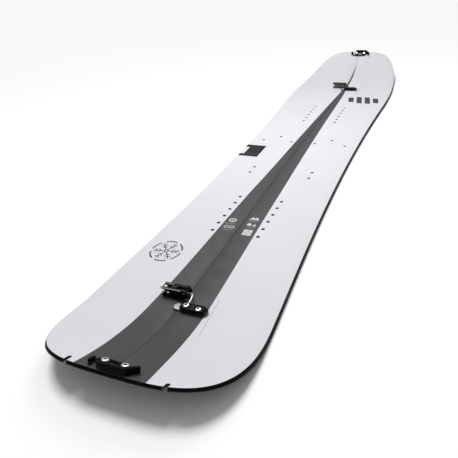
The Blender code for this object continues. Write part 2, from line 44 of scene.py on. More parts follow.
# ---------------------------------------------------------------- shape laws
TAIL_TIP, NOSE_TIP = -352.8 * MM, 1188.0 * MM
WAIST_S, WAIST_HALF = 211.0 * MM, 118.9 * MM
SIDECUT_TAIL, SIDECUT_NOSE = 0.0634, 0.0630
NOSE_HALF, NOSE_FROM, NOSE_P, NOSE_Q = 141.0 * MM, 832.4 * MM, 4.5, 2.4
TAIL_HALF, TAIL_FROM, TAIL_P, TAIL_Q = 130.0 * MM, -168.7 * MM, 3.4, 3.9
BLEND = 60.0
SEAM_HALF = 0.45 * MM
SEAM_LINE = 0.16 * MM      # printed faces meet closer than the carried-over solids
TAIL_LIFT_S, TAIL_RISE, TAIL_POW = -209.6 * MM, 34.6 * MM, 1.7
NOSE_LIFT_S, NOSE_RISE, NOSE_POW = 939.8 * MM, 52.3 * MM, 2.2
T_TOTAL = 8.4 * MM
TIP_THIN = 0.48
FLARE, WALL_W, SEAM_WALL_W, EDGE_W = 1.2 * MM, 8.0 * MM, 5.0 * MM, 2.4 * MM
PITCH, ROW_X, ROW_COUNT = 25.4 * MM, 39.7 * MM, 6
REAR_ROW_S, FRONT_ROW_S = 0.0, 580.2 * MM
TOUR_X, TOUR_HALF_W = 61.0 * MM, 33.8 * MM
TOE_S, TOE_AHEAD = 424.5 * MM, 28.5 * MM
HEEL_S = (237.9 * MM, 264.9 * MM)
HOLE_R = 3.3 * MM
NOTCH_X = (54.8 * MM, 66.0 * MM)   # left and right of the seam
NOTCH_W, NOTCH_D = 5.5 * MM, 8.1 * MM
CLIP_X = (-11.2 * MM, 13.8 * MM)
TAIL_CLIP_S, NOSE_CLIP_S = -340.3 * MM, 1175.7 * MM
LATCH_S = (-175.0 * MM, 912.5 * MM)
RECEIVER_BACK = 24.7 * MM


def lift(s):
    if s < TAIL_LIFT_S:
        return TAIL_RISE * ((TAIL_LIFT_S - s) / (TAIL_LIFT_S - TAIL_TIP)) ** TAIL_POW
    if s > NOSE_LIFT_S:
        return NOSE_RISE * ((s - NOSE_LIFT_S) / (NOSE_TIP - NOSE_LIFT_S)) ** NOSE_POW
    return 0.0


def slope(s):
    e = 0.05 * MM
    return (lift(s + e) - lift(s - e)) / (2 * e)


def thin(s):
    t = max((TAIL_LIFT_S - s) / (TAIL_LIFT_S - TAIL_TIP), (s - NOSE_LIFT_S) / (NOSE_TIP - NOSE_LIFT_S), 0.0)
    t = min(t, 1.0)
    return 1.0 - (1.0 - TIP_THIN) * t * t * (3.0 - 2.0 * t)


def raw_on(s, n):
    if n < 0.0:
        n *= thin(s)
    d = slope(s)
    k = sqrt(1.0 + d * d)
    return s - n * d / k, T_TOTAL + lift(s) + n / k


Y_MID = 0.5 * (raw_on(TAIL_TIP - FLARE, -8.3 * MM)[0] + raw_on(NOSE_TIP + FLARE, -8.3 * MM)[0])


def on_board(x, s, n=0.0):
    y, z = raw_on(s, n)
    return Vector((x, y - Y_MID, z))


def half_width(s, grow=0.0):
    if s >= WAIST_S:
        side = WAIST_HALF + SIDECUT_NOSE * (s - WAIST_S) ** 2
        a, b0, tip, p, q = NOSE_HALF, NOSE_FROM, NOSE_TIP, NOSE_P, NOSE_Q
        t = (s - b0) / (tip + grow - b0)
    else:
        side = WAIST_HALF + SIDECUT_TAIL * (s - WAIST_S) ** 2
        a, b0, tip, p, q = TAIL_HALF, TAIL_FROM, TAIL_TIP, TAIL_P, TAIL_Q
        t = (b0 - s) / (b0 - (tip - grow))
    t = min(max(t, 0.0), 1.0)
    end = (a + grow) * (1.0 - t ** q) ** (1.0 / p)
    side += grow
    if end < 1e-9:
        return 0.0
    return (side ** -BLEND + end ** -BLEND) ** (-1.0 / BLEND)


def outline(grow, seam, tips=20, bends=26, mids=44, seam_n=70):
    """Fine closed outline of the right half, counter-clockwise, as (x, s)."""
    pts = []
    # tail end, given across the board, then along it
    def tail_s(x):
        return TAIL_FROM - (TAIL_FROM - (TAIL_TIP - grow)) * (1 - (x / (TAIL_HALF + grow)) ** TAIL_P) ** (1 / TAIL_Q)

    def nose_s(x):
        return NOSE_FROM + (NOSE_TIP + grow - NOSE_FROM) * (1 - (x / (NOSE_HALF + grow)) ** NOSE_P) ** (1 / NOSE_Q)
    for i in range(tips):
        x = seam + (0.80 * TAIL_HALF - seam) * i / tips
        pts.append((x, tail_s(x)))
    s0, s1 = tail_s(0.80 * TAIL_HALF), TAIL_FROM
    for i in range(bends):
        s = s0 + (s1 - s0) * (i / bends) ** 1.5
        pts.append((half_width(s, grow), s))
    for i in range(mids):
        s = TAIL_FROM + (NOSE_FROM - TAIL_FROM) * i / mids
        pts.append((half_width(s, grow), s))
    s0, s1 = NOSE_FROM, nose_s(0.80 * NOSE_HALF)
    for i in range(bends + 14):
        s = s0 + (s1 - s0) * (1 - (1 - i / (bends + 14)) ** 1.4)
        pts.append((half_width(s, grow), s))
    for i in range(tips + 1):
        x = 0.80 * NOSE_HALF + (seam - 0.80 * NOSE_HALF) * i / tips
        pts.append((x, nose_s(x)))
    sa, sb = pts[-1][1], pts[0][1]
    for i in range(1, seam_n):
        pts.append((seam, sa + (sb - sa) * i / seam_n))
    return pts


def ring(cx, cy, r, n, turn=0.0):
    return [(cx + r * cos(turn + 2 * pi * i / n), cy + r * sin(turn + 2 * pi * i / n)) for i in range(n)]


# ---------------------------------------------------------------- materials
def node(nt, kind, **props):
    n = nt.nodes.new(kind)
    for k, v in props.items():
        setattr(n, k, v)
    return n


def finish_of(name, colour, rough, metal=0.0, var=0.05, var_scale=60.0, rough_var=0.06, rough_scale=180.0,
              bump=0.0, bump_scale=1500.0, stretch=(1, 1, 1), spec=0.5, coat=0.0, coat_rough=0.2,
              scratch=0.0, scratch_scale=90.0, tint=None, wear_and_edge_highlight=0.0):
    """Procedural surface: mottled colour, uneven gloss, fine relief, scratches."""
    m = bpy.data.materials.new(name)
    m.use_nodes = True
    nt = m.node_tree
    b = nt.nodes["Principled BSDF"]
    b.inputs["Metallic"].default_value = metal
    b.inputs["Specular IOR Level"].default_value = spec
    b.inputs["Coat Weight"].default_value = coat
    b.inputs["Coat Roughness"].default_value = coat_rough
    tc = node(nt, "ShaderNodeTexCoord")
    mp = node(nt, "ShaderNodeMapping")
    mp.inputs["Scale"].default_value = stretch
    nt.links.new(tc.outputs["Object"], mp.inputs["Vector"])

    def noise(scale, detail=3.0, r=0.55, src=None):
        n = node(nt, "ShaderNodeTexNoise")
        n.inputs["Scale"].default_value = scale
        n.inputs["Detail"].default_value = detail
        n.inputs["Roughness"].default_value = r
        nt.links.new(src or mp.outputs["Vector"], n.inputs["Vector"])
        return n
    n1 = noise(var_scale, 4.0)
    ramp = node(nt, "ShaderNodeValToRGB")
    dark = [max(c * (1 - var), 0.0) for c in colour]
    light = [min(c * (1 + var), 1.0) for c in (tint or colour)]
    ramp.color_ramp.elements[0].position = 0.3
    ramp.color_ramp.elements[1].position = 0.7
    ramp.color_ramp.elements[0].color = (*dark, 1)
    ramp.color_ramp.elements[1].color = (*light, 1)
    nt.links.new(n1.outputs["Fac"], ramp.inputs["Fac"])
    colour_out = ramp.outputs["Color"]
    n2 = noise(rough_scale, 3.0)
    mr = node(nt, "ShaderNodeMapRange")
    mr.inputs["From Min"].default_value = 0.3
    mr.inputs["From Max"].default_value = 0.7
    mr.inputs["To Min"].default_value = max(rough - rough_var, 0.02)
    mr.inputs["To Max"].default_value = min(rough + rough_var, 1.0)
    nt.links.new(n2.outputs["Fac"], mr.inputs["Value"])
    rough_out = mr.outputs["Result"]
    if scratch > 0:
        # sparse hairline scratches: thin iso-lines of a stretched noise
        ms = node(nt, "ShaderNodeMapping")
        ms.inputs["Rotation"].default_value = (0, 0, 0.5)
        ms.inputs["Scale"].default_value = (1.0, 0.06, 1.0)
        nt.links.new(tc.outputs["Object"], ms.inputs["Vector"])
        ns = noise(scratch_scale, 2.0, 0.5, ms.outputs["Vector"])
        band = node(nt, "ShaderNodeMapRange")
        band.inputs["From Min"].default_value = 0.0
        band.inputs["From Max"].default_value = 0.012
        band.inputs["To Min"].default_value = 1.0
        band.inputs["To Max"].default_value = 0.0
        sub = node(nt, "ShaderNodeMath", operation="SUBTRACT")
        sub.inputs[1].default_value = 0.62
        ab = node(nt, "ShaderNodeMath", operation="ABSOLUTE")
        nt.links.new(ns.outputs["Fac"], sub.inputs[0])
        nt.links.new(sub.outputs[0], ab.inputs[0])
        nt.links.new(ab.outputs[0], band.inputs["Value"])
        mul = node(nt, "ShaderNodeMath", operation="MULTIPLY")
        mul.inputs[1].default_value = scratch
        nt.links.new(band.outputs["Result"], mul.inputs[0])
        add = node(nt, "ShaderNodeMath", operation="ADD", use_clamp=True)
        nt.links.new(rough_out, add.inputs[0])
        nt.links.new(mul.outputs[0], add.inputs[1])
        rough_out = add.outputs[0]
    if wear_and_edge_highlight > 0:
        # rubbed wear and painted highlight: convex edges are mixed towards a lighter grey, standing in for light caught
        # along the edges
        geo = node(nt, "ShaderNodeNewGeometry")
        wr = node(nt, "ShaderNodeMapRange")
        wr.inputs["From Min"].default_value = 0.52
        wr.inputs["From Max"].default_value = 0.60
        wr.inputs["To Min"].default_value = 0.0
        wr.inputs["To Max"].default_value = wear_and_edge_highlight
        nt.links.new(geo.outputs["Pointiness"], wr.inputs["Value"])
        mix = node(nt, "ShaderNodeMix", data_type="RGBA")
        mix.inputs["B"].default_value = (0.35, 0.33, 0.30, 1)
        nt.links.new(wr.outputs["Result"], mix.inputs["Factor"])
        nt.links.new(colour_out, mix.inputs["A"])
        colour_out = mix.outputs["Result"]
    nt.links.new(colour_out, b.inputs["Base Color"])
    nt.links.new(rough_out, b.inputs["Roughness"])
    if bump > 0:
        n3 = noise(bump_scale, 2.0, 0.6)
        bp = node(nt, "ShaderNodeBump")
        bp.inputs["Strength"].default_value = bump
        bp.inputs["Distance"].default_value = 0.00006
        nt.links.new(n3.outputs["Fac"], bp.inputs["Height"])
        nt.links.new(bp.outputs["Normal"], b.inputs["Normal"])
    return m


M = {
    "white": finish_of("sheet_white", (0.58, 0.585, 0.615), 0.50, var=0.012, var_scale=9, rough_var=0.05, rough_scale=40,
                       bump=0.10, bump_scale=1400, spec=0.30, scratch=0.12),
    "charcoal": finish_of("sheet_charcoal", (0.043, 0.042, 0.045), 0.50, var=0.05, var_scale=30, rough_var=0.05,
                          rough_scale=50, bump=0.14, bump_scale=1400, spec=0.28, scratch=0.15),
    "panel": finish_of("sheet_black", (0.008, 0.008, 0.009), 0.46, var=0.1, var_scale=40, bump=0.12, spec=0.12, scratch=0.1),
    "panel_grey": finish_of("sheet_panel_grey", (0.028, 0.029, 0.031), 0.44, var=0.12, var_scale=80, bump=0.1, spec=0.2),
    "ink": finish_of("sheet_ink", (0.060, 0.060, 0.064), 0.38, var=0.15, var_scale=220, bump=0.12, spec=0.4),
    "ink_black": finish_of("sheet_ink_black", (0.018, 0.018, 0.019), 0.38, var=0.12, var_scale=160, bump=0.12, spec=0.4),
    "pale": finish_of("sheet_pale_print", (0.50, 0.50, 0.51), 0.38, var=0.1, var_scale=260, bump=0.12, spec=0.4),
    "dim": finish_of("sheet_dim_print", (0.16, 0.16, 0.17), 0.38, var=0.12, var_scale=300, bump=0.12, spec=0.4),
    # painted shade: thin grey lines on the white sheet near the kicks
    "shade_line": finish_of("sheet_painted_shade_line", (0.36, 0.365, 0.385), 0.36, var=0.1, var_scale=200, bump=0.1, spec=0.42),
    "wall": finish_of("rim_abs", (0.0032, 0.0030, 0.0032), 0.48, var=0.25, var_scale=120, rough_var=0.08, rough_scale=300,
                      bump=0.25, bump_scale=500, stretch=(1, 0.15, 3), spec=0.03),
    "edge": finish_of("edge_steel", (0.020, 0.019, 0.019), 0.42, metal=0.85, var=0.2, var_scale=90, rough_var=0.12,
                      rough_scale=200, bump=0.2, bump_scale=700, stretch=(1, 0.1, 1)),
    "base": finish_of("base_polyethylene", (0.014, 0.014, 0.015), 0.40, var=0.35, var_scale=26, rough_var=0.10,
                      rough_scale=160, bump=0.35, bump_scale=800, stretch=(1, 0.04, 1), spec=0.45, scratch=0.2),
    "wood": finish_of("core_wood", (0.50, 0.34, 0.18), 0.65, var=0.28, var_scale=60, bump=0.3, bump_scale=500,
                      stretch=(1, 0.06, 1)),
    "cut": finish_of("cut_laminate", (0.050, 0.044, 0.028), 0.6, var=0.4, var_scale=400, bump=0.4, bump_scale=900,
                     stretch=(1, 1, 4)),
    "insert": finish_of("insert_steel", (0.30, 0.285, 0.25), 0.35, metal=0.9, var=0.15, var_scale=400, rough_var=0.1,
                        bump=0.15, bump_scale=2500),
    # convex edges of the black hardware carry a painted highlight together with rubbed wear
    "black": finish_of("anodised_black", (0.0017, 0.0017, 0.0018), 0.38, metal=0.0, var=0.2, var_scale=200, rough_var=0.08,
                       rough_scale=500, bump=0.22, bump_scale=3200, spec=0.04, wear_and_edge_highlight=0.08),
    "lever": finish_of("lever_black", (0.006, 0.0058, 0.0056), 0.30, metal=0.0, var=0.2, var_scale=220, rough_var=0.08,
                       rough_scale=500, bump=0.15, bump_scale=3000, spec=0.22),
    "champagne": finish_of("machined_champagne", (0.80, 0.735, 0.65), 0.32, metal=1.0, var=0.08, var_scale=500,
                           rough_var=0.08, rough_scale=700, bump=0.12, bump_scale=2200, stretch=(0.2, 1, 1)),
    "screw": finish_of("screw_stainless", (0.90, 0.87, 0.82), 0.24, metal=1.0, var=0.06, var_scale=500, rough_var=0.08,
                       rough_scale=900, bump=0.12, bump_scale=2600),
    # painted shade: the dark colour for the faces inside each hex socket
    "socket": finish_of("screw_socket_painted_shade", (0.05, 0.047, 0.042), 0.45, metal=0.6, var=0.2, var_scale=800, bump=0.2,
                        bump_scale=2000),
    "wire": finish_of("wire_stainless", (0.50, 0.455, 0.40), 0.28, metal=1.0, var=0.06, var_scale=400, rough_var=0.06,
                      rough_scale=900, bump=0.08, bump_scale=2600),
    "tongue": finish_of("tongue_blasted", (0.33, 0.33, 0.345), 0.50, metal=0.3, var=0.05, var_scale=500, rough_var=0.06,
                        rough_scale=1200, bump=0.35, bump_scale=3500),
    # painted reflection: taupe sheen for the side faces of the front latch
    "taupe_sheen": finish_of("taupe_painted_sheen", (0.150, 0.135, 0.118), 0.50, metal=0.2, var=0.12, var_scale=400, rough_var=0.08,
                       rough_scale=700, bump=0.14, bump_scale=2400, spec=0.2),
    # painted shade: darker copies of the wire and screw finishes for the front latch
    "wire_front_shade": finish_of("wire_painted_front_shade", (0.060, 0.056, 0.052), 0.34, metal=0.7, var=0.12, var_scale=400, bump=0.1,
                           bump_scale=2600),
    "screw_front_shade": finish_of("screw_painted_front_shade", (0.045, 0.043, 0.041), 0.36, metal=0.7, var=0.12, var_scale=400, bump=0.1,
                            bump_scale=2600),
    "pin": finish_of("pin_steel", (0.16, 0.155, 0.15), 0.3, metal=0.9, var=0.1, var_scale=500, bump=0.1),
    "bush": finish_of("bush_acetal", (0.02, 0.02, 0.02), 0.5, var=0.2, var_scale=400, bump=0.2, bump_scale=2500),
    "pad": finish_of("pad_rubber", (0.012, 0.012, 0.012), 0.7, var=0.25, var_scale=400, bump=0.5, bump_scale=2200),
}


# ---------------------------------------------------------------- mesh helpers
def new_object(name, me):
    ob = bpy.data.objects.new(name, me)
    bpy.context.scene.collection.objects.link(ob)
    return ob


def mesh_of(ob):
    dg = bpy.context.evaluated_depsgraph_get()
    me = bpy.data.meshes.new_from_object(ob.evaluated_get(dg))
    bm = bmesh.new()
    bm.from_mesh(me)
    bmesh.ops.remove_doubles(bm, verts=bm.verts, dist=2e-6)
    bmesh.ops.dissolve_degenerate(bm, dist=1e-7, edges=bm.edges)
    bmesh.ops.recalc_face_normals(bm, faces=bm.faces)
    bm.to_mesh(me)
    bm.free()
    return me


def inside(px, py, poly):
    """Even-odd test of many points at once."""
    res = np.zeros(len(px), bool)
    x = np.array([p[0] for p in poly])
    y = np.array([p[1] for p in poly])
    x2, y2 = np.roll(x, -1), np.roll(y, -1)
    for a, b, c, d in zip(x, y, x2, y2):
        if b == d:
            continue
        hit = ((b > py) != (d > py)) & (px < (c - a) * (py - b) / (d - b) + a)
        res ^= hit
    return res


def inset(pts, d, hole=False):
    """Move a closed outline inwards (outwards for a hole) by d."""
    n = len(pts)
    area = sum(pts[i][0] * pts[(i + 1) % n][1] - pts[(i + 1) % n][0] * pts[i][1] for i in range(n))
    sgn = (1.0 if area > 0 else -1.0) * (-1.0 if hole else 1.0)
    out = []
    for i in range(n):
        p0, p1, p2 = Vector(pts[i - 1]), Vector(pts[i]), Vector(pts[(i + 1) % n])
        a, b = (p1 - p0).normalized(), (p2 - p1).normalized()
        na, nb = Vector((-a.y, a.x)), Vector((-b.y, b.x))
        m = na + nb
        k = max(1.0 + na.dot(nb), 0.35)
        out.append(p1 + m * (sgn * d / k))
    # where a tight corner would fold over, its points close up into one
    for _ in range(12):
        folded = False
        for i in range(n):
            j = (i + 1) % n
            e, f = out[j] - out[i], Vector(pts[j]) - Vector(pts[i])
            if e.length > 1e-7 and e.dot(f) < 0:
                k0, k1 = i, j
                while (out[k0 - 1] - out[i]).length < 1e-7 and k0 - 1 > i - n + 2:
                    k0 -= 1
                while (out[(k1 + 1) % n] - out[j]).length < 1e-7 and k1 + 1 < j + n - 2:
                    k1 += 1
                mid = (out[i] + out[j]) / 2
                for q in range(k0, k1 + 1 if k1 >= k0 else k1 + n + 1):
                    out[q % n] = mid.copy()
                folded = True
        if not folded:
            break
    return [tuple(v) for v in out]


def prism(loops, z0, z1, bev=0.0, res=2):
    """Slab with rolled edges from flat outlines in mm, first outer, others holes."""
    if bev <= 0:
        steps = [(0.0, z1), (0.0, z0)]
    else:
        q = [(bev * (1 - sin(pi / 2 * k / (res + 1))), bev * (1 - cos(pi / 2 * k / (res + 1)))) for k in range(res + 2)]
        steps = [(i, z1 - d) for i, d in q] + [(i, z0 + d) for i, d in reversed(q)]
    verts, rings = [], []
    for li, pts in enumerate(loops):
        rows = []
        for i, z in steps:
            q = inset(pts, i, li > 0) if i > 1e-9 else list(pts)
            rows.append(list(range(len(verts), len(verts) + len(q))))
            verts.extend((x * MM, y * MM, z * MM) for x, y in q)
        rings.append(rows)
    faces = []
    for rows in rings:
        n = len(rows[0])
        for a, b in zip(rows, rows[1:]):
            faces += [(a[i], b[i], b[(i + 1) % n], a[(i + 1) % n]) for i in range(n)]
    for level in (0, -1):
        ids, flat, edges = [], [], []
        for rows in rings:
            row = rows[level]
            k = len(flat)
            ids += row
            flat += [Vector(verts[v][:2]) for v in row]
            edges += [(k + i, k + (i + 1) % len(row)) for i in range(len(row))]
        vo, _, fo, ov, _, _ = delaunay_2d_cdt(flat, edges, [], 0, 1e-9, True)
        back = []
        for v, o in zip(vo, ov):
            if o:
                back.append(ids[o[0]])
            else:
                back.append(len(verts))
                verts.append((v.x, v.y, verts[ids[0]][2]))
        tri = list(fo)
        cen = np.array([[sum(vo[v].x for v in f) / 3, sum(vo[v].y for v in f) / 3] for f in tri])
        keep = np.zeros(len(tri), bool)
        for rows in rings:
            keep ^= inside(cen[:, 0], cen[:, 1], [verts[v][:2] for v in rows[level]])
        faces += [tuple(back[v] for v in f) for f, k in zip(tri, keep) if k]
    me = bpy.data.meshes.new("slab")
    me.from_pydata(verts, [], faces)
    bm = bmesh.new()
    bm.from_mesh(me)
    bmesh.ops.remove_doubles(bm, verts=bm.verts, dist=5e-8)
    bmesh.ops.recalc_face_normals(bm, faces=bm.faces)
    if bm.calc_volume(signed=True) < 0:
        bmesh.ops.reverse_faces(bm, faces=bm.faces)
    bm.to_mesh(me)
    bm.free()
    return new_object("tmp", me)


def side_prism(loops, y0, y1, bev=0.0, res=2):
    ob = prism(loops, -y1, -y0, bev, res)
    ob.data.transform(Matrix.Rotation(pi / 2, 4, "X"))
    return ob


def turned(profile, n=32):
    """Solid of revolution about Z from (radius, height) in mm; an open
    profile starts and ends on the axis, a closed one is a ring."""
    closed = profile[0] == profile[-1]
    prof = profile[:-1] if closed else profile
    verts, rows = [], []
    for r, z in prof:
        if r < 1e-6:
            rows.append([len(verts)] * n)
            verts.append((0.0, 0.0, z * MM))
        else:
            rows.append(list(range(len(verts), len(verts) + n)))
            verts.extend((r * MM * cos(2 * pi * i / n), r * MM * sin(2 * pi * i / n), z * MM) for i in range(n))
    faces = []
    pairs = list(zip(rows, rows[1:])) + ([(rows[-1], rows[0])] if closed else [])
    for a, b in pairs:
        for i in range(n):
            j = (i + 1) % n
            f = []
            for v in (a[i], b[i], b[j], a[j]):
                if v not in f:
                    f.append(v)
            if len(f) > 2:
                faces.append(tuple(f))
    me = bpy.data.meshes.new("turned")
    me.from_pydata(verts, [], faces)
    bm = bmesh.new()
    bm.from_mesh(me)
    bmesh.ops.recalc_face_normals(bm, faces=bm.faces)
    if bm.calc_volume(signed=True) < 0:
        bmesh.ops.reverse_faces(bm, faces=bm.faces)
    bm.to_mesh(me)
    bm.free()
    return new_object("tmp", me)


def brick(lo, hi):
    me = bpy.data.meshes.new("b")
    bm = bmesh.new()
    bmesh.ops.create_cube(bm, size=1.0)
    for v in bm.verts:
        v.co = Vector([(lo[i] + (v.co[i] + 0.5) * (hi[i] - lo[i])) * MM for i in range(3)])
    bm.to_mesh(me)
    bm.free()
    return new_object("tmp", me)


def combine(ob, others, mode="UNION"):
    for i, o in enumerate(others):
        b = ob.modifiers.new("b%d" % i, "BOOLEAN")
        b.operation = mode
        b.solver = "EXACT"
        b.object = o
    dg = bpy.context.evaluated_depsgraph_get()
    me = bpy.data.meshes.new_from_object(ob.evaluated_get(dg))
    bm = bmesh.new()
    bm.from_mesh(me)
    bmesh.ops.remove_doubles(bm, verts=bm.verts, dist=2e-6)
    bmesh.ops.dissolve_degenerate(bm, dist=2e-6, edges=bm.edges)
    bm.to_mesh(me)
    bm.free()
    ob.modifiers.clear()
    ob.data = me
    for o in others:
        bpy.data.objects.remove(o, do_unlink=True)
    return ob


def move(ob, x=0.0, y=0.0, z=0.0):
    ob.data.transform(Matrix.Translation((x * MM, y * MM, z * MM)))
    return ob


def rounded(pts, cuts=2, k=0.22):
    """Chaikin corner rounding of a closed outline."""
    for _ in range(cuts):
        out = []
        for i, (x0, y0) in enumerate(pts):
            x1, y1 = pts[(i + 1) % len(pts)]
            out.append((x0 + (x1 - x0) * k, y0 + (y1 - y0) * k))
            out.append((x1 + (x0 - x1) * k, y1 + (y0 - y1) * k))
        pts = out
    return pts


def dress(ob, name, body, node_name, mats, paint=None, sharp=34, matrix=None):
    """Name, place, paint and hang a finished piece on its body."""
    if matrix is not None:
        ob.data.transform(matrix)
    ob.name = name
    ob.data.name = name
    ob.data.materials.clear()
    for m in mats:
        ob.data.materials.append(M[m])
    for p in ob.data.polygons:
        p.material_index = 0
    if paint:
        paint(ob.data)
    ob.data.shade_smooth()
    ob.data.set_sharp_from_angle(angle=radians(sharp))
    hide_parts(*([node_name] if isinstance(node_name, str) else node_name))
    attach(ob, body)
    return ob


# ---------------------------------------------------------------- board layers
def layer(side, outer, holes, prints, profile, rows=True):
    """One bent layer of a board half as a closed mesh.

    outer and holes are flat outlines in (x, s) for the right half, mirrored
    for the left; prints are (outline, material index) in true x; profile is
    the edge from top to bottom as (outward offset, n)."""
    def mir(pts):
        return [(side * x, s) for x, s in pts] if side > 0 else [(-x, s) for x, s in reversed(pts)]
    outer_m = mir(outer)
    holes_m = [mir(h) for h in holes]
    verts, edges = [], []

    def loop(pts):
        i0 = len(verts)
        verts.extend(Vector(p) for p in pts)
        edges.extend((i0 + i, i0 + (i + 1) % len(pts)) for i in range(len(pts)))
    loop(outer_m)
    for h in holes_m:
        loop(h)
    for pts, _ in prints:
        loop(pts)
    if rows:
        # inner points, so that the bent ends stay smooth
        stations = [TAIL_TIP + 0.004 + i * 0.0065 for i in range(24)] + [NOSE_LIFT_S - 0.01 + i * 0.0072 for i in range(36)]
        stations += [TAIL_LIFT_S + 0.03 + i * 0.045 for i in range(25)]
        for s in stations:
            if s > NOSE_TIP - 0.003:
                continue
            w = half_width(s)
            nx = 7
            for i in range(1, nx):
                x = SEAM_HALF + (w - SEAM_HALF) * i / nx
                verts.append(Vector((side * x, s + 0.0004 * ((i * 37) % 5 - 2))))
    vo, eo, fo, _, _, _ = delaunay_2d_cdt(verts, edges, [], 0, 1e-7, True)
    co = np.array([(v.x, v.y) for v in vo])
    tri = [f for f in fo if len(f) == 3]
    t = np.array(tri)
    a, b, c = co[t[:, 0]], co[t[:, 1]], co[t[:, 2]]
    area = (b[:, 0] - a[:, 0]) * (c[:, 1] - a[:, 1]) - (b[:, 1] - a[:, 1]) * (c[:, 0] - a[:, 0])
    flip = area < 0
    t[flip] = t[flip][:, ::-1]
    cen = (a + b + c) / 3
    keep = inside(cen[:, 0], cen[:, 1], outer_m) & (np.abs(area) > 1e-13)
    for h in holes_m:
        keep &= ~inside(cen[:, 0], cen[:, 1], h)
    mat_of = np.zeros(len(t), int)
    for pts, mi in prints:
        mat_of[inside(cen[:, 0], cen[:, 1], pts)] = mi
    t, mat_of = t[keep], mat_of[keep]
    # boundary edges, material on their left
    count = {}
    for f in t:
        for i in range(3):
            e = (int(f[i]), int(f[(i + 1) % 3]))
            count[e] = count.get(e, 0) + 1
    border = [e for e in count if (e[1], e[0]) not in count]
    normal = {}
    for i, j in border:
        d = co[j] - co[i]
        ln = hypot(*d) or 1.0
        nrm = np.array((d[1], -d[0])) / ln
        for v in (i, j):
            normal[v] = normal.get(v, np.zeros(2)) + nrm
    used = sorted(set(int(i) for i in t.ravel()))
    out_v, index = [], {}
    for v in used:
        index[v] = len(out_v)
        off = np.zeros(2)
        out_v.append(on_board(co[v][0], co[v][1], profile[0][1]))
    rings = [{v: index[v] for v in normal if v in index}]
    for off_mm, n in profile[1:]:
        r = {}
        for v in rings[0]:
            nn = normal[v]
            ln = hypot(*nn)
            nn = nn / ln if ln > 1e-9 else nn
            w = 0.3 if abs(co[v][0]) < 2.5 * MM else 1.0
            p = co[v] + nn * off_mm * w
            r[v] = len(out_v)
            out_v.append(on_board(p[0], p[1], n))
        rings.append(r)
    low = {}
    for v in used:
        if v in rings[-1]:
            low[v] = rings[-1][v]
        else:
            low[v] = len(out_v)
            out_v.append(on_board(co[v][0], co[v][1], profile[-1][1]))
    faces, mats = [], []
    for f, mi in zip(t, mat_of):
        faces.append(tuple(index[int(i)] for i in f))
        mats.append(int(mi))
    for f in t:
        faces.append(tuple(low[int(i)] for i in reversed(f)))
        mats.append(-1)
    for k in range(len(rings) - 1):
        for i, j in border:
            faces.append((rings[k][j], rings[k][i], rings[k + 1][i], rings[k + 1][j]))
            mats.append(-1)
    me = bpy.data.meshes.new("layer")
    me.from_pydata([tuple(v) for v in out_v], [], faces)
    me.validate()
    ob = new_object("tmp", me)
    return ob, mats


def notch_outline(side, extra=0.0):
    w = NOTCH_W / 2 - extra
    nx = NOTCH_X[0] if side < 0 else NOTCH_X[1]
    return [(nx - w, TAIL_TIP - 12 * MM), (nx + w, TAIL_TIP - 12 * MM)] + \
        [(nx + w * cos(pi * k / 12), TAIL_TIP + 4.6 * MM + NOTCH_D - NOTCH_W / 2 + w * sin(pi * k / 12))
         for k in range(0, 13)]


def insert_places(side):
    return {
        "rear_insert_row": [(side * ROW_X, REAR_ROW_S + i * PITCH) for i in range(ROW_COUNT)],
        "front_insert_row": [(side * ROW_X, FRONT_ROW_S + i * PITCH) for i in range(ROW_COUNT)],
        "touring_toe_inserts": [(side * (TOUR_X - TOUR_HALF_W), TOE_S), (side * TOUR_X, TOE_S + TOE_AHEAD),
                                (side * (TOUR_X + TOUR_HALF_W), TOE_S)],
        "touring_heel_inserts": [(side * TOUR_X, s) for s in HEEL_S],
    }


def bolt_places(side):
    clip_x = CLIP_X[0] if side < 0 else CLIP_X[1]
    out = [(clip_x, TAIL_CLIP_S), (clip_x, NOSE_CLIP_S)]
    for s in LATCH_S:
        if side < 0:
            out += [(-26.0 * MM, s), (-15.5 * MM, s)]
        else:
            out += [(12.4 * MM, s - RECEIVER_BACK - 0.7 * MM), (29.6 * MM, s - RECEIVER_BACK - 0.7 * MM)]
    return out


# ---------------------------------------------------------------- printed art
def bar_at(x, s, w, l, turn=0.0, skew=0.0):
    """Rectangle of width w across and length l along, about its centre, mm."""
    c, d = cos(radians(turn)), sin(radians(turn))
    out = []
    for u, v in ((-w / 2, -l / 2), (w / 2, -l / 2), (w / 2, l / 2), (-w / 2, l / 2)):
        u += skew * v
        out.append(((x + u * c - v * d) * MM, (s + u * d + v * c) * MM))
    return out


def mmring(x, s, r, n=28, turn=0.0):
    return ring(x * MM, s * MM, r * MM, n, turn)


def smooth_through(pts, steps=5):
    """Points of a Catmull-Rom curve through an open row of points."""
    out = []
    for i in range(len(pts) - 1):
        p0, p1, p2, p3 = [np.array(pts[min(max(j, 0), len(pts) - 1)], float) for j in (i - 1, i, i + 1, i + 2)]
        for k in range(steps):
            t = k / steps
            out.append(tuple(0.5 * (2 * p1 + (p2 - p0) * t + (2 * p0 - 5 * p1 + 4 * p2 - p3) * t * t
                                    + (3 * p1 - p0 - 3 * p2 + p3) * t ** 3)))
    out.append(tuple(pts[-1]))
    return out


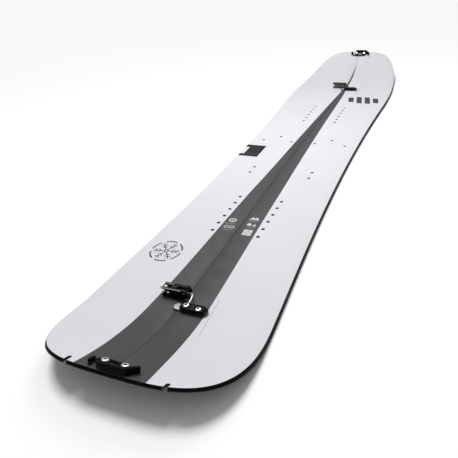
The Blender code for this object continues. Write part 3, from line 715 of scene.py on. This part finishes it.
WEDGE_LEFT = [(-44.0, -362), (-42.9, -345), (-41.9, -310), (-41.5, -261), (-40.6, -220), (-38.2, -180), (-35.7, -127),
              (-33.3, -40), (-31.2, 60), (-28.0, 160), (-25.6, 210), (-22.0, 312), (-19.1, 405), (-15.4, 510),
              (-11.7, 608), (-9.0, 682), (-6.8, 740), (-4.6, 790), (-2.0, 843), (-0.9, 905), (-0.3, 990)]
WEDGE_RIGHT = [(46.6, -362), (44.9, -345), (41.9, -311), (39.9, -266), (39.2, -226), (38.8, -181), (37.0, -123),
               (32.4, -2), (30.2, 61), (27.0, 174), (25.5, 221), (22.6, 312), (20.2, 405), (17.8, 510), (16.0, 608),
               (15.1, 682), (14.2, 740), (13.3, 790), (11.8, 843), (7.6, 922), (5.4, 997), (3.9, 1049), (0.9, 1110)]


def wedge(side):
    """Charcoal wedge: widest at the tail, vanishing before the nose."""
    edge = smooth_through(WEDGE_LEFT if side < 0 else WEDGE_RIGHT)
    return [(0.0, edge[0][1] * MM)] + [(x * MM, s * MM) for x, s in edge] + [(0.0, edge[-1][1] * MM)]


def snow_crystal(cx, cs, r, flat):
    """Six-armed crystal emblem inside a broken ring; flat squeezes it across."""
    out = []

    def put(pts, mi):
        out.append(([((cx + (x - cx) * flat) * MM, y * MM) for x, y in pts], mi))
    for k in range(6):
        a = 60 * k + 8

        def at(dist, across):
            return (cx + dist * cos(radians(a)) - across * sin(radians(a)),
                    cs + dist * sin(radians(a)) + across * cos(radians(a)))
        put([at(3.2, -1.0), at(r * 0.80, -1.0), at(r * 0.87, 0.0), at(r * 0.80, 1.0), at(3.2, 1.0)], 5)
        for dist, ln in ((0.36, 0.20), (0.58, 0.20)):
            for sg in (-1, 1):
                b0, b1 = at(r * dist, 0.6 * sg), at(r * (dist + ln * 0.8), r * ln * sg)
                dx, dy = b1[0] - b0[0], b1[1] - b0[1]
                ln2 = hypot(dx, dy)
                ux, uy = -dy / ln2 * 0.9, dx / ln2 * 0.9
                put([(b0[0] - ux, b0[1] - uy), (b1[0] - ux * 0.7, b1[1] - uy * 0.7),
                     (b1[0] + ux * 0.7, b1[1] + uy * 0.7), (b0[0] + ux, b0[1] + uy)], 5)
        # heavy arc of the broken ring between two arms
        arc = []
        for i in range(9):
            t = radians(a + 8 + 44 * i / 8)
            arc.append((cx + r * cos(t), cs + r * sin(t)))
        for i in range(8, -1, -1):
            t = radians(a + 8 + 44 * i / 8)
            arc.append((cx + (r - 3.0) * cos(t), cs + (r - 3.0) * sin(t)))
        put(arc, 5)
    for rad, mi, turn in ((4.8, 5, 8), (2.3, 0, 38)):
        put([(cx + rad * cos(radians(turn + 60 * i)), cs + rad * sin(radians(turn + 60 * i))) for i in range(6)], mi)
    return out


def prints_for(side):
    """(outline, material index): 1 charcoal, 2 panel, 3 panel grey, 4 black
    ink, 5 grey ink, 6 pale, 7 dim, 8 painted shade line."""
    out = [(wedge(side), 1)]
    if side < 0:
        # black bracket panel that runs off the left edge
        out.append(([(x * MM, s * MM) for x, s in
                     ((-130, 318.5), (-75, 318.5), (-75, 385.5), (-130, 385.5), (-130, 371), (-110, 371), (-110, 331.5),
                      (-130, 331.5))], 2))
        for i in range(5):
            out.append((bar_at(-92.5, 372 - i * 5.6, 24 - 5 * (i % 2), 1.5), 3))
        out.append((bar_at(-92.5, 333.5, 26, 13.0), 3))
        for i in range(4):
            out.append((bar_at(-101.5 + i * 6.0, 333.5, 3.2, 8.5), 2))
        out += snow_crystal(-83.0, -80.0, 29.0, 0.88)
        # small plain icons: nut, twin washers, and short rules
        out += [(mmring(-19.5, 40.0, 7.4, 6, 0.3), 6), (mmring(-19.5, 40.0, 4.7, 6, 0.3), 1), (mmring(-19.5, 40.0, 2.1, 14), 6),
                (bar_at(-20.5, 28.6, 17, 1.5, 2), 7), (bar_at(-21.5, 25.8, 12, 1.2, 2), 7),
                (mmring(-22.0, 16.8, 4.4, 20), 6), (mmring(-22.0, 16.8, 2.9, 18), 1),
                (mmring(-12.4, 17.6, 4.4, 20), 6), (mmring(-12.4, 17.6, 2.9, 18), 1),
                (bar_at(-16.5, 8.2, 19, 1.4, 2), 7), (bar_at(-17.5, 5.6, 13, 1.1, 2), 7)]
    else:
        # four plain parallel bars
        for i, ln in enumerate((44, 62, 62, 44)):
            out.append((bar_at(43.0 + 22.5 * i, 788, 14.5, ln, 0, -0.16), 4))
        out += [([(x * MM, s * MM) for x, s in ((6.5, 50.2), (12.0, 59.6), (15.2, 54.4), (18.4, 60.4), (24.0, 50.6))], 6),
                (bar_at(14.8, 46.4, 19, 1.5, 2), 7), (bar_at(14.8, 43.8, 14, 1.2, 2), 7),
                (mmring(12.6, 33.6, 4.2, 18), 6), ([(x * MM, s * MM) for x, s in ((18.6, 29.6), (25.0, 29.6), (21.8, 37.6))], 6),
                (bar_at(17.2, 25.6, 17, 1.5, 2), 7), (bar_at(17.2, 23.0, 12, 1.2, 2), 7)]
        sq = 15.0
        out.append((bar_at(18.5, 8.0, sq, sq + 3, 3), 6))
        for i in range(3):
            for j in range(3):
                if (i + j) % 2:
                    out.append((bar_at(18.5 + (i - 1) * 4.4, 8.0 + (j - 1) * 5.2, 2.6, 3.0, 3), 7))
        # painted shade lines beside the wedge, where the sheet starts to bend into the kicks
        out += [(bar_at(47.3, -205.0, 0.9, 74, 3.8), 8), (bar_at(46.0, 914.0, 1.2, 150, -0.3), 8)]
    return out


SHEET_MATS = ["white", "charcoal", "panel", "panel_grey", "ink_black", "ink", "pale", "dim", "shade_line", "wall"]

for side, tag in ((-1, "left"), (1, "right")):
    pads = insert_places(side)
    hole_loops = [ring(abs(x), s, HOLE_R - 0.15 * MM, 26) for row in pads.values() for x, s in row]
    bolt_loops = [ring(abs(x), s, 2.5 * MM, 14) for x, s in bolt_places(side)]
    notch = notch_outline(side)

    # top sheet: printed faces, softly broken edge
    edge_in = 0.35 * MM
    ob, mats = layer(side, outline(-edge_in, SEAM_LINE + 0.3 * edge_in), hole_loops + bolt_loops + [notch_outline(side, edge_in)],
                     prints_for(side), [(0.0, 0.0), (0.14 * MM, -0.03 * MM), (0.28 * MM, -0.14 * MM),
                                        (0.35 * MM, -0.3 * MM), (0.35 * MM, -0.8 * MM)])

    def paint(me, mats=mats):
        last = len(SHEET_MATS) - 1
        me.polygons.foreach_set("material_index", [last if m < 0 else m for m in mats])
    dress(ob, "sheet_" + tag, "board", "topsheet_" + tag, SHEET_MATS, paint, sharp=40)

    # sidewall ring with a leaning, lightly grooved face
    inner = [(x, s) for x, s in outline(-WALL_W, SEAM_HALF + SEAM_WALL_W, tips=10, bends=14, mids=24, seam_n=40)]
    ob, mats = layer(side, outline(0.0, SEAM_LINE + 0.28 * MM), [inner, notch_outline(side, 0.05 * MM)], [],
                     [(0.0, -0.84 * MM), (0.16 * MM, -0.95 * MM), (0.42 * MM, -3.0 * MM), (0.32 * MM, -3.2 * MM),
                      (0.52 * MM, -3.4 * MM), (0.95 * MM, -6.2 * MM), (0.80 * MM, -6.43 * MM)], rows=False)

    def paint_wall(me, mats=mats):
        # cut faces inside the skin notch show the laminate
        for p in me.polygons:
            c = p.center
            if abs(abs(c.x) - (NOTCH_X[0] if side < 0 else NOTCH_X[1])) < NOTCH_W / 2 + 0.6 * MM and c.y < -Y_MID + TAIL_TIP + 12 * MM and \
                    c.y > -Y_MID + TAIL_TIP + 0.6 * MM and abs(p.normal.z) < 0.8:
                p.material_index = 1
    dress(ob, "rim_" + tag, "board", "sidewall_" + tag, ["wall", "cut"], paint_wall, sharp=28)

    inner = outline(FLARE - EDGE_W, SEAM_HALF + EDGE_W, tips=12, bends=16, mids=30, seam_n=50)
    ob, mats = layer(side, outline(0.95 * MM, SEAM_LINE + 0.1 * MM), [inner, notch_outline(side, 0.05 * MM)], [],
                     [(0.0, -6.47 * MM), (0.2 * MM, -6.55 * MM), (0.25 * MM, -6.7 * MM), (0.25 * MM, -8.1 * MM),
                      (0.1 * MM, -8.3 * MM)], rows=False)
    dress(ob, "edge_" + tag, "board", "steel_edge_" + tag, ["edge"], None, sharp=28)

    ob, mats = layer(side, outline(FLARE - EDGE_W - 0.2 * MM, SEAM_HALF + EDGE_W + 0.2 * MM), [notch_outline(side, 0.0)], [],
                     [(0.0, -6.5 * MM), (0.0, -8.2 * MM), (-0.2 * MM, -8.4 * MM)])
    dress(ob, "glide_base_" + tag, "board", "base_" + tag, ["base"], None, sharp=40)

    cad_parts["core_" + tag].data.materials.clear()
    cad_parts["core_" + tag].data.materials.append(M["wood"])

    # threaded inserts: turned bushes with thread rings on a thin strip
    for key, row in pads.items():
        prof = [(2.55, -1.2), (4.05, -1.2), (4.2, -1.35), (4.2, -5.0), (0.0, -5.0), (0.0, -4.5), (2.2, -4.5)]
        z = -4.35
        while z < -1.75:
            prof += [(2.2, z), (2.6, z + 0.22)]
            z += 0.44
        prof += [(2.35, -1.5), (2.55, -1.2)]
        parts = []
        for x, s in row:
            b = turned(prof, 20)
            b.data.transform(Matrix.Translation((x, s, 0)))
            parts.append(b)
        for (xa, sa), (xb, sb) in zip(row, row[1:]):
            d = Vector((xb - xa, sb - sa)).normalized()
            w = Vector((-d.y, d.x)) * (1.4 * MM)
            a, b = Vector((xa, sa)) + d * 3.9 * MM, Vector((xb, sb)) - d * 3.9 * MM
            parts.append(prism([[tuple(v / MM) for v in (a - w, b - w, b + w, a + w)]], -4.95, -4.35, 0.1, 1))
        bm = bmesh.new()
        for p in parts:
            bm.from_mesh(p.data)
            bpy.data.objects.remove(p, do_unlink=True)
        for v in bm.verts:
            v.co = on_board(v.co.x, v.co.y, v.co.z)
        me = bpy.data.meshes.new("row")
        bm.to_mesh(me)
        bm.free()
        dress(new_object("tmp", me), "bushes_" + key + "_" + tag, "board", key + "_" + tag, ["insert"])


# ---------------------------------------------------------------- fasteners
def stand(x, s):
    return Matrix.Translation(on_board(x, s)) @ Matrix.Rotation(atan(slope(s)), 4, "X")


def hex_loop(r, turn=0.0):
    return [(r * cos(turn + pi / 3 * i), r * sin(turn + pi / 3 * i)) for i in range(6)]


def cap_screw(head_r, seat, head_h, shank_r=2.0, tip=-4.8, hexr=1.85, deep=1.5, turn=0.3):
    """Low button head with a rolled edge and a hexagon socket."""
    top = seat + head_h
    h = head_h
    prof = [(0.0, top), (head_r * 0.52, top), (head_r * 0.70, top - 0.04 * h), (head_r * 0.85, top - 0.15 * h),
            (head_r * 0.95, top - 0.34 * h), (head_r, top - 0.56 * h), (head_r, seat + 0.10 * h), (head_r - 0.2, seat),
            (shank_r, seat), (shank_r, tip + 0.5), (shank_r - 0.5, tip), (0.0, tip)]
    ob = turned(prof, 36)
    tool = prism([hex_loop(hexr, turn)], top - deep, top + 2.0)
    ob = combine(ob, [tool], "DIFFERENCE")
    cone = turned([(0.0, top + 0.2), (hexr + 0.3, top + 0.2), (hexr - 0.3, top - 0.4), (0.0, top - 0.4)], 24)
    return combine(ob, [cone], "DIFFERENCE")


def paint_socket_shade(head_r, seat, head_h, hexr=1.85):
    """Faces down in the socket take a dark colour: painted shade in the recess."""
    def paint(me):
        for p in me.polygons:
            c = p.center
            if hypot(c.x, c.y) < (hexr + 0.05) * MM and c.z < (seat + head_h - 0.12) * MM and c.z > (seat + 0.1) * MM:
                p.material_index = 1
    return paint


def add_screw(name, node_name, x, s, head_r, seat, head_h, metal="screw", **kw):
    ob = cap_screw(head_r, seat, head_h, **kw)
    me = ob.data
    me.materials.append(M[metal])
    me.materials.append(M["socket"])
    paint_socket_shade(head_r, seat, head_h, kw.get("hexr", 1.85))(me)
    idx = [p.material_index for p in me.polygons]

    def again(m, idx=idx):
        m.polygons.foreach_set("material_index", idx)
    return dress(ob, name, "board", node_name, [metal, "socket"], again, sharp=30, matrix=stand(x, s))


# ---------------------------------------------------------------- tip clips
def tip_clip(end, s0, out):
    left_x, right_x = CLIP_X

    def m(pts):
        q = [(x, out * -1 * y) for x, y in pts]
        return q if out < 0 else list(reversed(q))
    bar = prism([m(rounded([(-4.2, -9.6), (-2.6, -8.4), (4.0, -8.3), (27.6, -8.7), (33.6, -1.6), (40.6, 3.8), (43.6, 0.8),
                            (37.5, -4.9), (31.2, -12.0), (29.0, -12.8), (4.0, -12.7), (-3.6, -12.0)], 3, 0.2))],
                0.9, 8.6, 0.7, 3)
    web = prism([m(rounded([(-4.6, -9.4), (-5.2, -2.0), (-4.0, 3.0), (0.0, 5.0), (4.0, 3.2), (6.0, -4.0), (9.5, -9.4)], 2))],
                3.2, 4.3, 0.3, 2)
    lip = prism([m(rounded([(7.0, -9.5), (24.6, -9.8), (26.0, -11.6), (9.0, -11.6)], 2, 0.2))], 7.9, 9.0, 0.35, 2)
    boss = turned([(0.0, 4.9), (4.8, 4.9), (5.3, 4.7), (5.6, 4.2), (5.6, 1.0), (5.2, 0.5), (0.0, 0.5)], 40)
    arm = combine(bar, [web, boss, lip])
    arm = combine(arm, [turned([(0.0, 6.5), (3.45, 6.5), (3.45, -1), (0.0, -1)], 32)], "DIFFERENCE")
    dress(arm, end + "_arm_left_shaped", end + "_arm_left", end + "_clip_arm_left", ["black"], None,
          matrix=stand(left_x, s0))

    low = prism([m(rounded([(5.0, 3.5), (2.0, 7.5), (-8.0, 9.6), (-22.5, 10.8), (-34.0, 9.4), (-41.0, 4.2), (-43.8, -2.0),
                            (-42.2, -7.6), (-38.6, -10.4), (-36.8, -8.6), (-38.0, -4.0), (-36.4, 1.0), (-32.0, 5.6),
                            (-25.5, 7.4), (-16.5, 6.6), (-8.5, 3.5), (-5.0, -2.0), (-3.0, -7.0), (3.5, -7.0), (6.0, -2.0)], 2))],
                1.25, 2.95, 0.4, 2)
    knob = prism([m(rounded([(-41.4, 4.4), (-44.0, -1.6), (-42.6, -7.4), (-39.2, -6.8), (-38.6, 0.4), (-39.2, 3.4)], 2))],
                 1.6, 6.0, 0.8, 3)
    boss = turned([(0.0, 4.9), (4.8, 4.9), (5.3, 4.7), (5.6, 4.2), (5.6, 1.0), (5.2, 0.5), (0.0, 0.5)], 40)
    arm = combine(low, [knob, boss])
    arm = combine(arm, [turned([(0.0, 6.5), (3.45, 6.5), (3.45, -1), (0.0, -1)], 32)], "DIFFERENCE")
    dress(arm, end + "_arm_right_shaped", end + "_arm_right", end + "_clip_arm_right", ["black"], None,
          matrix=stand(right_x, s0))
    for x, tag in ((left_x, "left"), (right_x, "right")):
        bush = turned([(2.3, 5.2), (3.1, 5.2), (3.3, 5.0), (3.3, 0.4), (2.3, 0.4), (2.3, 5.2)], 32)
        dress(bush, end + "_bush_" + tag, "board", end + "_clip_bush_" + tag, ["bush"], None, matrix=stand(x, s0))
        add_screw(end + "_shoulder_screw_" + tag, end + "_clip_screw_" + tag, x, s0, 4.3, 5.4, 2.0, tip=-3.2,
                  turn=0.3 if x < 0 else 0.8)


tip_clip("tail", TAIL_CLIP_S, -1)
tip_clip("nose", NOSE_CLIP_S, 1)


# ---------------------------------------------------------------- cross latches
PX, PZ = 0.5, 10.5
HX, HZ = -7.5, 7.0


def cross_latch(end, s0):
    at = Matrix.Translation(on_board(0.0, s0))

    # channel base
    floor = prism([rounded([(-33.5, -7.6), (-17.0, -9.2), (-6.0, -11.6), (-1.2, -12.0), (-1.2, 7.6), (-33.5, 7.6)], 2, 0.06),
                   ring(-26.0, 0, 2.3, 20), ring(-15.5, 0, 2.3, 20)], 0.4, 2.4, 0.4, 2)
    ear = [(PX + 3.9 * cos(a), PZ + 3.9 * sin(a)) for a in [radians(165 - 10 * k) for k in range(16)]]
    wall = [(-33.0, 0.4), (-33.2, 3.6), (-32.2, 5.2), (-29.5, 5.9), (-23.0, 6.4), (-19.0, 8.6), (-14.0, 9.4), (-8.0, 9.3), (-4.6, 10.1)] + ear + \
        [(5.4, 8.0), (5.4, 5.0), (4.2, 3.8), (1.5, 3.0), (-1.2, 2.8), (-1.2, 0.4)]
    walls = [side_prism([wall, ring(PX, PZ, 1.45, 20)], a, b, 0.35, 2) for a, b in ((-7.6, -5.9), (5.9, 7.6))]
    base = combine(floor, walls)
    windows = [side_prism([rounded([(-15.5, 3.8), (-15.5, 7.0), (-9.5, 7.0), (-8.0, 5.6), (-8.0, 3.8)], 2)], a, b)
               for a, b in ((-9, -5), (5, 9))]
    base = combine(base, windows, "DIFFERENCE")

    # painted reflection: the outer wall faces of the front channel take the taupe sheen
    def paint_side_sheen(me):
        for p in me.polygons:
            if abs(p.normal.y) > 0.9 and abs(p.center.y) > 7.4 * MM and p.center.z < 20 * MM:
                p.material_index = 1
    # the front latch is the same hardware as the rear one; its copy is given painted sheen (taupe sides) and painted
    # shade (no champagne rim, darker wire and screws)
    front_sheen_and_shade = end == "front"
    dress(base, end + "_channel", "board", end + "_latch_base", ["black", "taupe_sheen"] if front_sheen_and_shade else ["black"],
          paint_side_sheen if front_sheen_and_shade else None, matrix=at)
    for x, tag in ((-26.0, "outer"), (-15.5, "inner")):
        add_screw(end + "_channel_screw_" + tag, end + "_latch_base_screw_" + tag, x * MM, s0, 3.3, 2.72, 1.4, hexr=1.3, deep=0.9)

    # lever: chamfered frame with a finger loop, cheeks, cross block
    r = 4.6
    corner = [(-36.6 + r - r * cos(radians(a)), -7.2 + r - r * sin(radians(a))) for a in range(90, -1, -9)]
    outer = corner + [(x, -y) for x, y in reversed(corner)] + \
        [(-4.6, 7.2), (-4.6, 5.4), (3.4, 5.4), (3.4, 2.3), (-12.5, 2.3), (-12.5, -2.3), (3.4, -2.3), (3.4, -5.4),
         (-4.6, -5.4), (-4.6, -7.2)]
    r = 2.0
    win = [(-33.0 + r - r * cos(radians(a)), -4.3 + r - r * sin(radians(a))) for a in range(90, -1, -15)]
    window = win + [(x, -y) for x, y in reversed(win)] + [(-20.6, 4.3), (-20.6, -4.3)]
    top = prism([outer, window], 11.0, 14.0, 0.75, 0)
    eye = [(PX + 3.2 * cos(a), PZ + 3.2 * sin(a)) for a in [radians(-110 + 10 * k) for k in range(15)]]
    cheek = [(-33.0, 11.5), (-29.0, 9.0), (-21.0, 5.0), (-10.0, 4.4), (-4.5, 4.6), (-2.0, 6.6)] + eye + [(3.2, 13.6), (-33.0, 13.6)]
    cheeks = [side_prism([cheek], a, b, 0.25, 1) for a, b in ((-5.4, -3.2), (3.2, 5.4))]
    block = prism([rounded([(-20.0, -4.0), (-12.8, -4.0), (-12.8, 4.0), (-20.0, 4.0)], 2, 0.12)], 6.2, 13.4, 0.4, 1)
    lever = combine(top, cheeks + [block])
    grooves = [prism([rounded([(-19.0, -6.0), (-7.6, -6.0), (-7.6, -2.9), (-19.0, -2.9)], 2, 0.15)], 13.45, 15.0),
               prism([rounded([(-19.0, 2.9), (-7.6, 2.9), (-7.6, 6.0), (-19.0, 6.0)], 2, 0.15)], 13.45, 15.0)]
    lever = combine(lever, [side_prism([ring(PX, PZ, 1.4, 20)], -7, 7), side_prism([ring(HX, HZ, 1.25, 20)], -7, 7)] + grooves,
                    "DIFFERENCE")

    def paint_lever(me):
        for p in me.polygons:
            n, c = p.normal, p.center
            slot = abs(c.y) < 3.6 * MM and c.x > -15 * MM
            rim = 0.35 < n.z < 0.92 and c.z > 12.9 * MM and c.x < -6.0 * MM and not slot
            tab = n.z > 0.9 and c.z > 13.8 * MM and c.x < -33.4 * MM
            # the front lever keeps its chamfer rim dark instead of champagne: painted shade
            if (rim and not front_sheen_and_shade) or tab:
                p.material_index = 1
            # painted reflection: the cheek faces of the front lever take the taupe sheen
            if front_sheen_and_shade and abs(n.y) > 0.9 and abs(c.y) > 5.3 * MM:
                p.material_index = 2
    bm = bmesh.new()
    bm.from_mesh(lever.data)
    bmesh.ops.bisect_plane(bm, geom=bm.verts[:] + bm.edges[:] + bm.faces[:], dist=1e-7, plane_co=(-33.4 * MM, 0, 0),
                           plane_no=(1, 0, 0))
    bm.to_mesh(lever.data)
    bm.free()
    dress(lever, end + "_lever_shaped", end + "_lever", end + "_latch_lever", ["lever", "champagne", "taupe_sheen"], paint_lever,
          sharp=28, matrix=None)
    lever.data.transform(at)
    for sgn, tag in ((-1, "tailward"), (1, "noseward")):
        pin = turned([(0.0, 8.6), (1.2, 8.5), (1.75, 8.25), (1.9, 7.95), (1.9, 7.9), (1.15, 7.9), (1.15, 3.4), (0.0, 3.4)], 24)
        pin.data.transform(Matrix.Rotation(radians(90 if sgn < 0 else -90), 4, "X"))
        move(pin, PX, 0, PZ)
        dress(pin, end + "_stub_" + tag, "board", end + "_latch_pin_" + tag, ["pin"], None, matrix=at)
    pin = turned([(0.0, 5.3), (0.8, 5.3), (1.0, 5.1), (1.0, -5.1), (0.8, -5.3), (0.0, -5.3)], 20)
    pin.data.transform(Matrix.Rotation(pi / 2, 4, "X"))
    move(pin, HX, 0, HZ)
    dress(pin, end + "_hook_axle", end + "_lever", end + "_hook_pin", ["pin"], None, matrix=at)

    # wire hook
    eye_ob = turned([(1.3, 1.8), (2.2, 1.8), (2.5, 1.5), (2.5, -1.5), (2.2, -1.8), (1.3, -1.8), (1.3, 1.8)], 28)
    eye_ob.data.transform(Matrix.Rotation(pi / 2, 4, "X"))
    move(eye_ob, HX, 0, HZ)
    route = [(-5.6, 0, 7.0), (2.0, 0, 7.0), (6.0, -0.3, 7.9), (9.6, -2.2, 8.3), (11.7, -5.6, 8.0), (12.3, -10.5, 7.2),
             (12.4, -16.0, 6.3), (12.4, -20.3, 6.0)]
    pts = []
    for i in range(len(route) - 1):
        p0, p1, p2, p3 = [Vector(route[min(max(j, 0), len(route) - 1)]) for j in (i - 1, i, i + 1, i + 2)]
        for k in range(6):
            t = k / 6
            pts.append(0.5 * ((2 * p1) + (-p0 + p2) * t + (2 * p0 - 5 * p1 + 4 * p2 - p3) * t * t + (-p0 + 3 * p1 - 3 * p2 + p3) * t ** 3))
    pts.append(Vector(route[-1]))
    cu = bpy.data.curves.new("wire", "CURVE")
    cu.dimensions = "3D"
    cu.bevel_depth = 1.2 * MM
    cu.bevel_resolution = 4
    cu.use_fill_caps = True
    sp = cu.splines.new("POLY")
    sp.points.add(len(pts) - 1)
    for p, c in zip(sp.points, pts):
        p.co = (c[0] * MM, c[1] * MM, c[2] * MM, 1.0)
    wire = new_object("wire", cu)
    wm = mesh_of(wire)
    bpy.data.objects.remove(wire, do_unlink=True)
    wire = new_object("tmp", wm)
    hook = combine(eye_ob, [wire])
    hook = combine(hook, [side_prism([ring(HX, HZ, 1.3, 24)], -3, 3)], "DIFFERENCE")
    # the front wire hook takes a darker copy of the wire finish: painted shade
    dress(hook, end + "_hook_shaped", end + "_hook", end + "_wire_hook", ["wire_front_shade" if front_sheen_and_shade else "wire"], None, matrix=at)

    # receiver
    yc = -RECEIVER_BACK / MM
    bolts = [ring(12.4, yc - 0.7, 2.3, 20), ring(29.6, yc - 0.7, 2.3, 20)]
    tip = [(-1.6 + 5.6 * cos(radians(a)), yc + 0.6 + 6.6 * sin(radians(a))) for a in range(90, 271, 10)]
    pad = prism([[(38.0, yc + 5.6)] + tip + [(4.9, yc - 6.0), (5.3, yc - 4.9), (38.0, yc - 4.9)]] + bolts, 0.35, 1.25, 0.2, 1)
    dress(pad, end + "_pad_shaped", "board", end + "_receiver_pad", ["pad"], None, matrix=at)
    tip = [(-1.2 + 5.0 * cos(radians(a)), yc + 0.8 + 5.9 * sin(radians(a))) for a in range(90, 271, 8)]
    tongue = prism([[(37.0, yc + 5.0)] + tip + [(37.0, yc - 4.4)]] + bolts, 1.45, 2.9, 0.3, 2)
    dress(tongue, end + "_tongue_shaped", "board", end + "_receiver_tongue", ["tongue"], None, matrix=at)
    ends = [(39.0 + 3.8 * cos(radians(a)), yc - 0.2 + 5.9 * sin(radians(a))) for a in range(90, -91, -10)]
    shape = [(4.4, yc + 4.9), (5.6, yc + 6.1), (20.0, yc + 6.1), (37.0, yc + 6.1)] + ends + [(22.0, yc - 6.4), (6.5, yc - 6.4), (4.4, yc - 5.2)]
    bar = prism([shape] + bolts, 3.2, 7.9, 0.7, 3)
    skirt = prism([[(6.0, yc - 5.3), (38.5, yc - 5.3), (38.5, yc - 6.15), (8.0, yc - 6.3), (6.0, yc - 5.5)]], 0.6, 4.4, 0.15, 1)
    bar = combine(bar, [skirt])
    tools = [prism([rounded([(9.7, yc + 3.7), (15.1, yc + 3.7), (15.1, yc + 9.0), (9.7, yc + 9.0)], 2, 0.12)], 4.3, 12.0),
             turned([(0.0, 12.0), (5.2, 12.0), (5.2, 5.6), (5.0, 5.4), (0.0, 5.4)], 36),
             prism([[(37.2, yc - 9), (50, yc - 9), (50, yc + 9), (37.2, yc + 9)]], 5.4, 12.0)]
    move(tools[1], 29.6, yc - 0.7, 0)
    bar = combine(bar, tools, "DIFFERENCE")
    dress(bar, end + "_bar_shaped", "board", end + "_receiver_bar", ["black"], None, matrix=at)
    # the front bar screws take a darker copy of the screw finish: painted shade
    for x, seat, tag, turn in ((12.4, 8.1, "inner", 0.3), (29.6, 5.7, "outer", 0.9)):
        add_screw(end + "_bar_screw_" + tag, end + "_receiver_screw_" + tag, x * MM, s0 + (yc - 0.7) * MM, 4.15, seat, 2.0,
                  metal="screw_front_shade" if front_sheen_and_shade else "screw", deep=1.3, turn=turn)


cross_latch("rear", LATCH_S[0])
cross_latch("front", LATCH_S[1])


# ---------------------------------------------------------------- the stage
bm = bmesh.new()
bmesh.ops.create_grid(bm, x_segments=24, y_segments=24, size=40.0)
me = bpy.data.meshes.new("ground")
bm.to_mesh(me)
bm.free()
ground = new_object("ground", me)
ground.location.z = -0.0006
gm = finish_of("ground_paper", (0.93, 0.93, 0.93), 0.85, var=0.004, var_scale=2, rough_var=0.02, bump=0.02, bump_scale=60, spec=0.2)
me.materials.append(gm)

world = bpy.data.worlds.new("studio")
bpy.context.scene.world = world
world.use_nodes = True
world.node_tree.nodes["Background"].inputs["Color"].default_value = (1.0, 1.0, 1.0, 1.0)
world.node_tree.nodes["Background"].inputs["Strength"].default_value = 0.385


def aim(ob, target):
    d = Vector(target) - ob.location
    ob.rotation_mode = "QUATERNION"
    ob.rotation_quaternion = d.to_track_quat("-Z", "Y")


def sun(name, toward, strength, angle):
    l = bpy.data.lights.new(name, "SUN")
    l.energy = strength
    l.angle = radians(angle)
    ob = new_object(name, l)
    ob.rotation_mode = "QUATERNION"
    ob.rotation_quaternion = Vector(toward).to_track_quat("-Z", "Y")
    return ob


def softbox(name, loc, target, size, power):
    l = bpy.data.lights.new(name, "AREA")
    l.shape = "RECTANGLE"
    l.size, l.size_y = size
    l.energy = power
    ob = new_object(name, l)
    ob.location = loc
    aim(ob, target)
    return ob


sun("key", (11.0, -13.5, -35.0), 2.23, 24)
softbox("top_box", (-0.05, 0.04, 0.6), (-0.05, 0.04, 0.0), (0.3, 0.6), 2.2)

# ---------------------------------------------------------------- the camera
cam = bpy.data.cameras.new("camera")
cam.sensor_width = 36.0
cam.lens = 36.0 * 497.29 / 458.0
cam.clip_start, cam.clip_end = 0.05, 120.0
view = new_object("camera", cam)
az, el, roll = radians(24.234), radians(29.948), radians(-3.986)
back = Vector((sin(az) * cos(el), -cos(az) * cos(el), sin(el)))
right = Vector((0, 0, 1)).cross(back).normalized()
up = back.cross(right)
right, up = cos(roll) * right + sin(roll) * up, -sin(roll) * right + cos(roll) * up
view.matrix_world = Matrix(((right.x, up.x, back.x, 0.27682), (right.y, up.y, back.y, -0.63693 - Y_MID),
                            (right.z, up.z, back.z, 0.40883 + T_TOTAL), (0, 0, 0, 1)))
bpy.context.scene.camera = view
bpy.context.scene.view_settings.view_transform = "Standard"
bpy.context.scene.view_settings.look = "None"
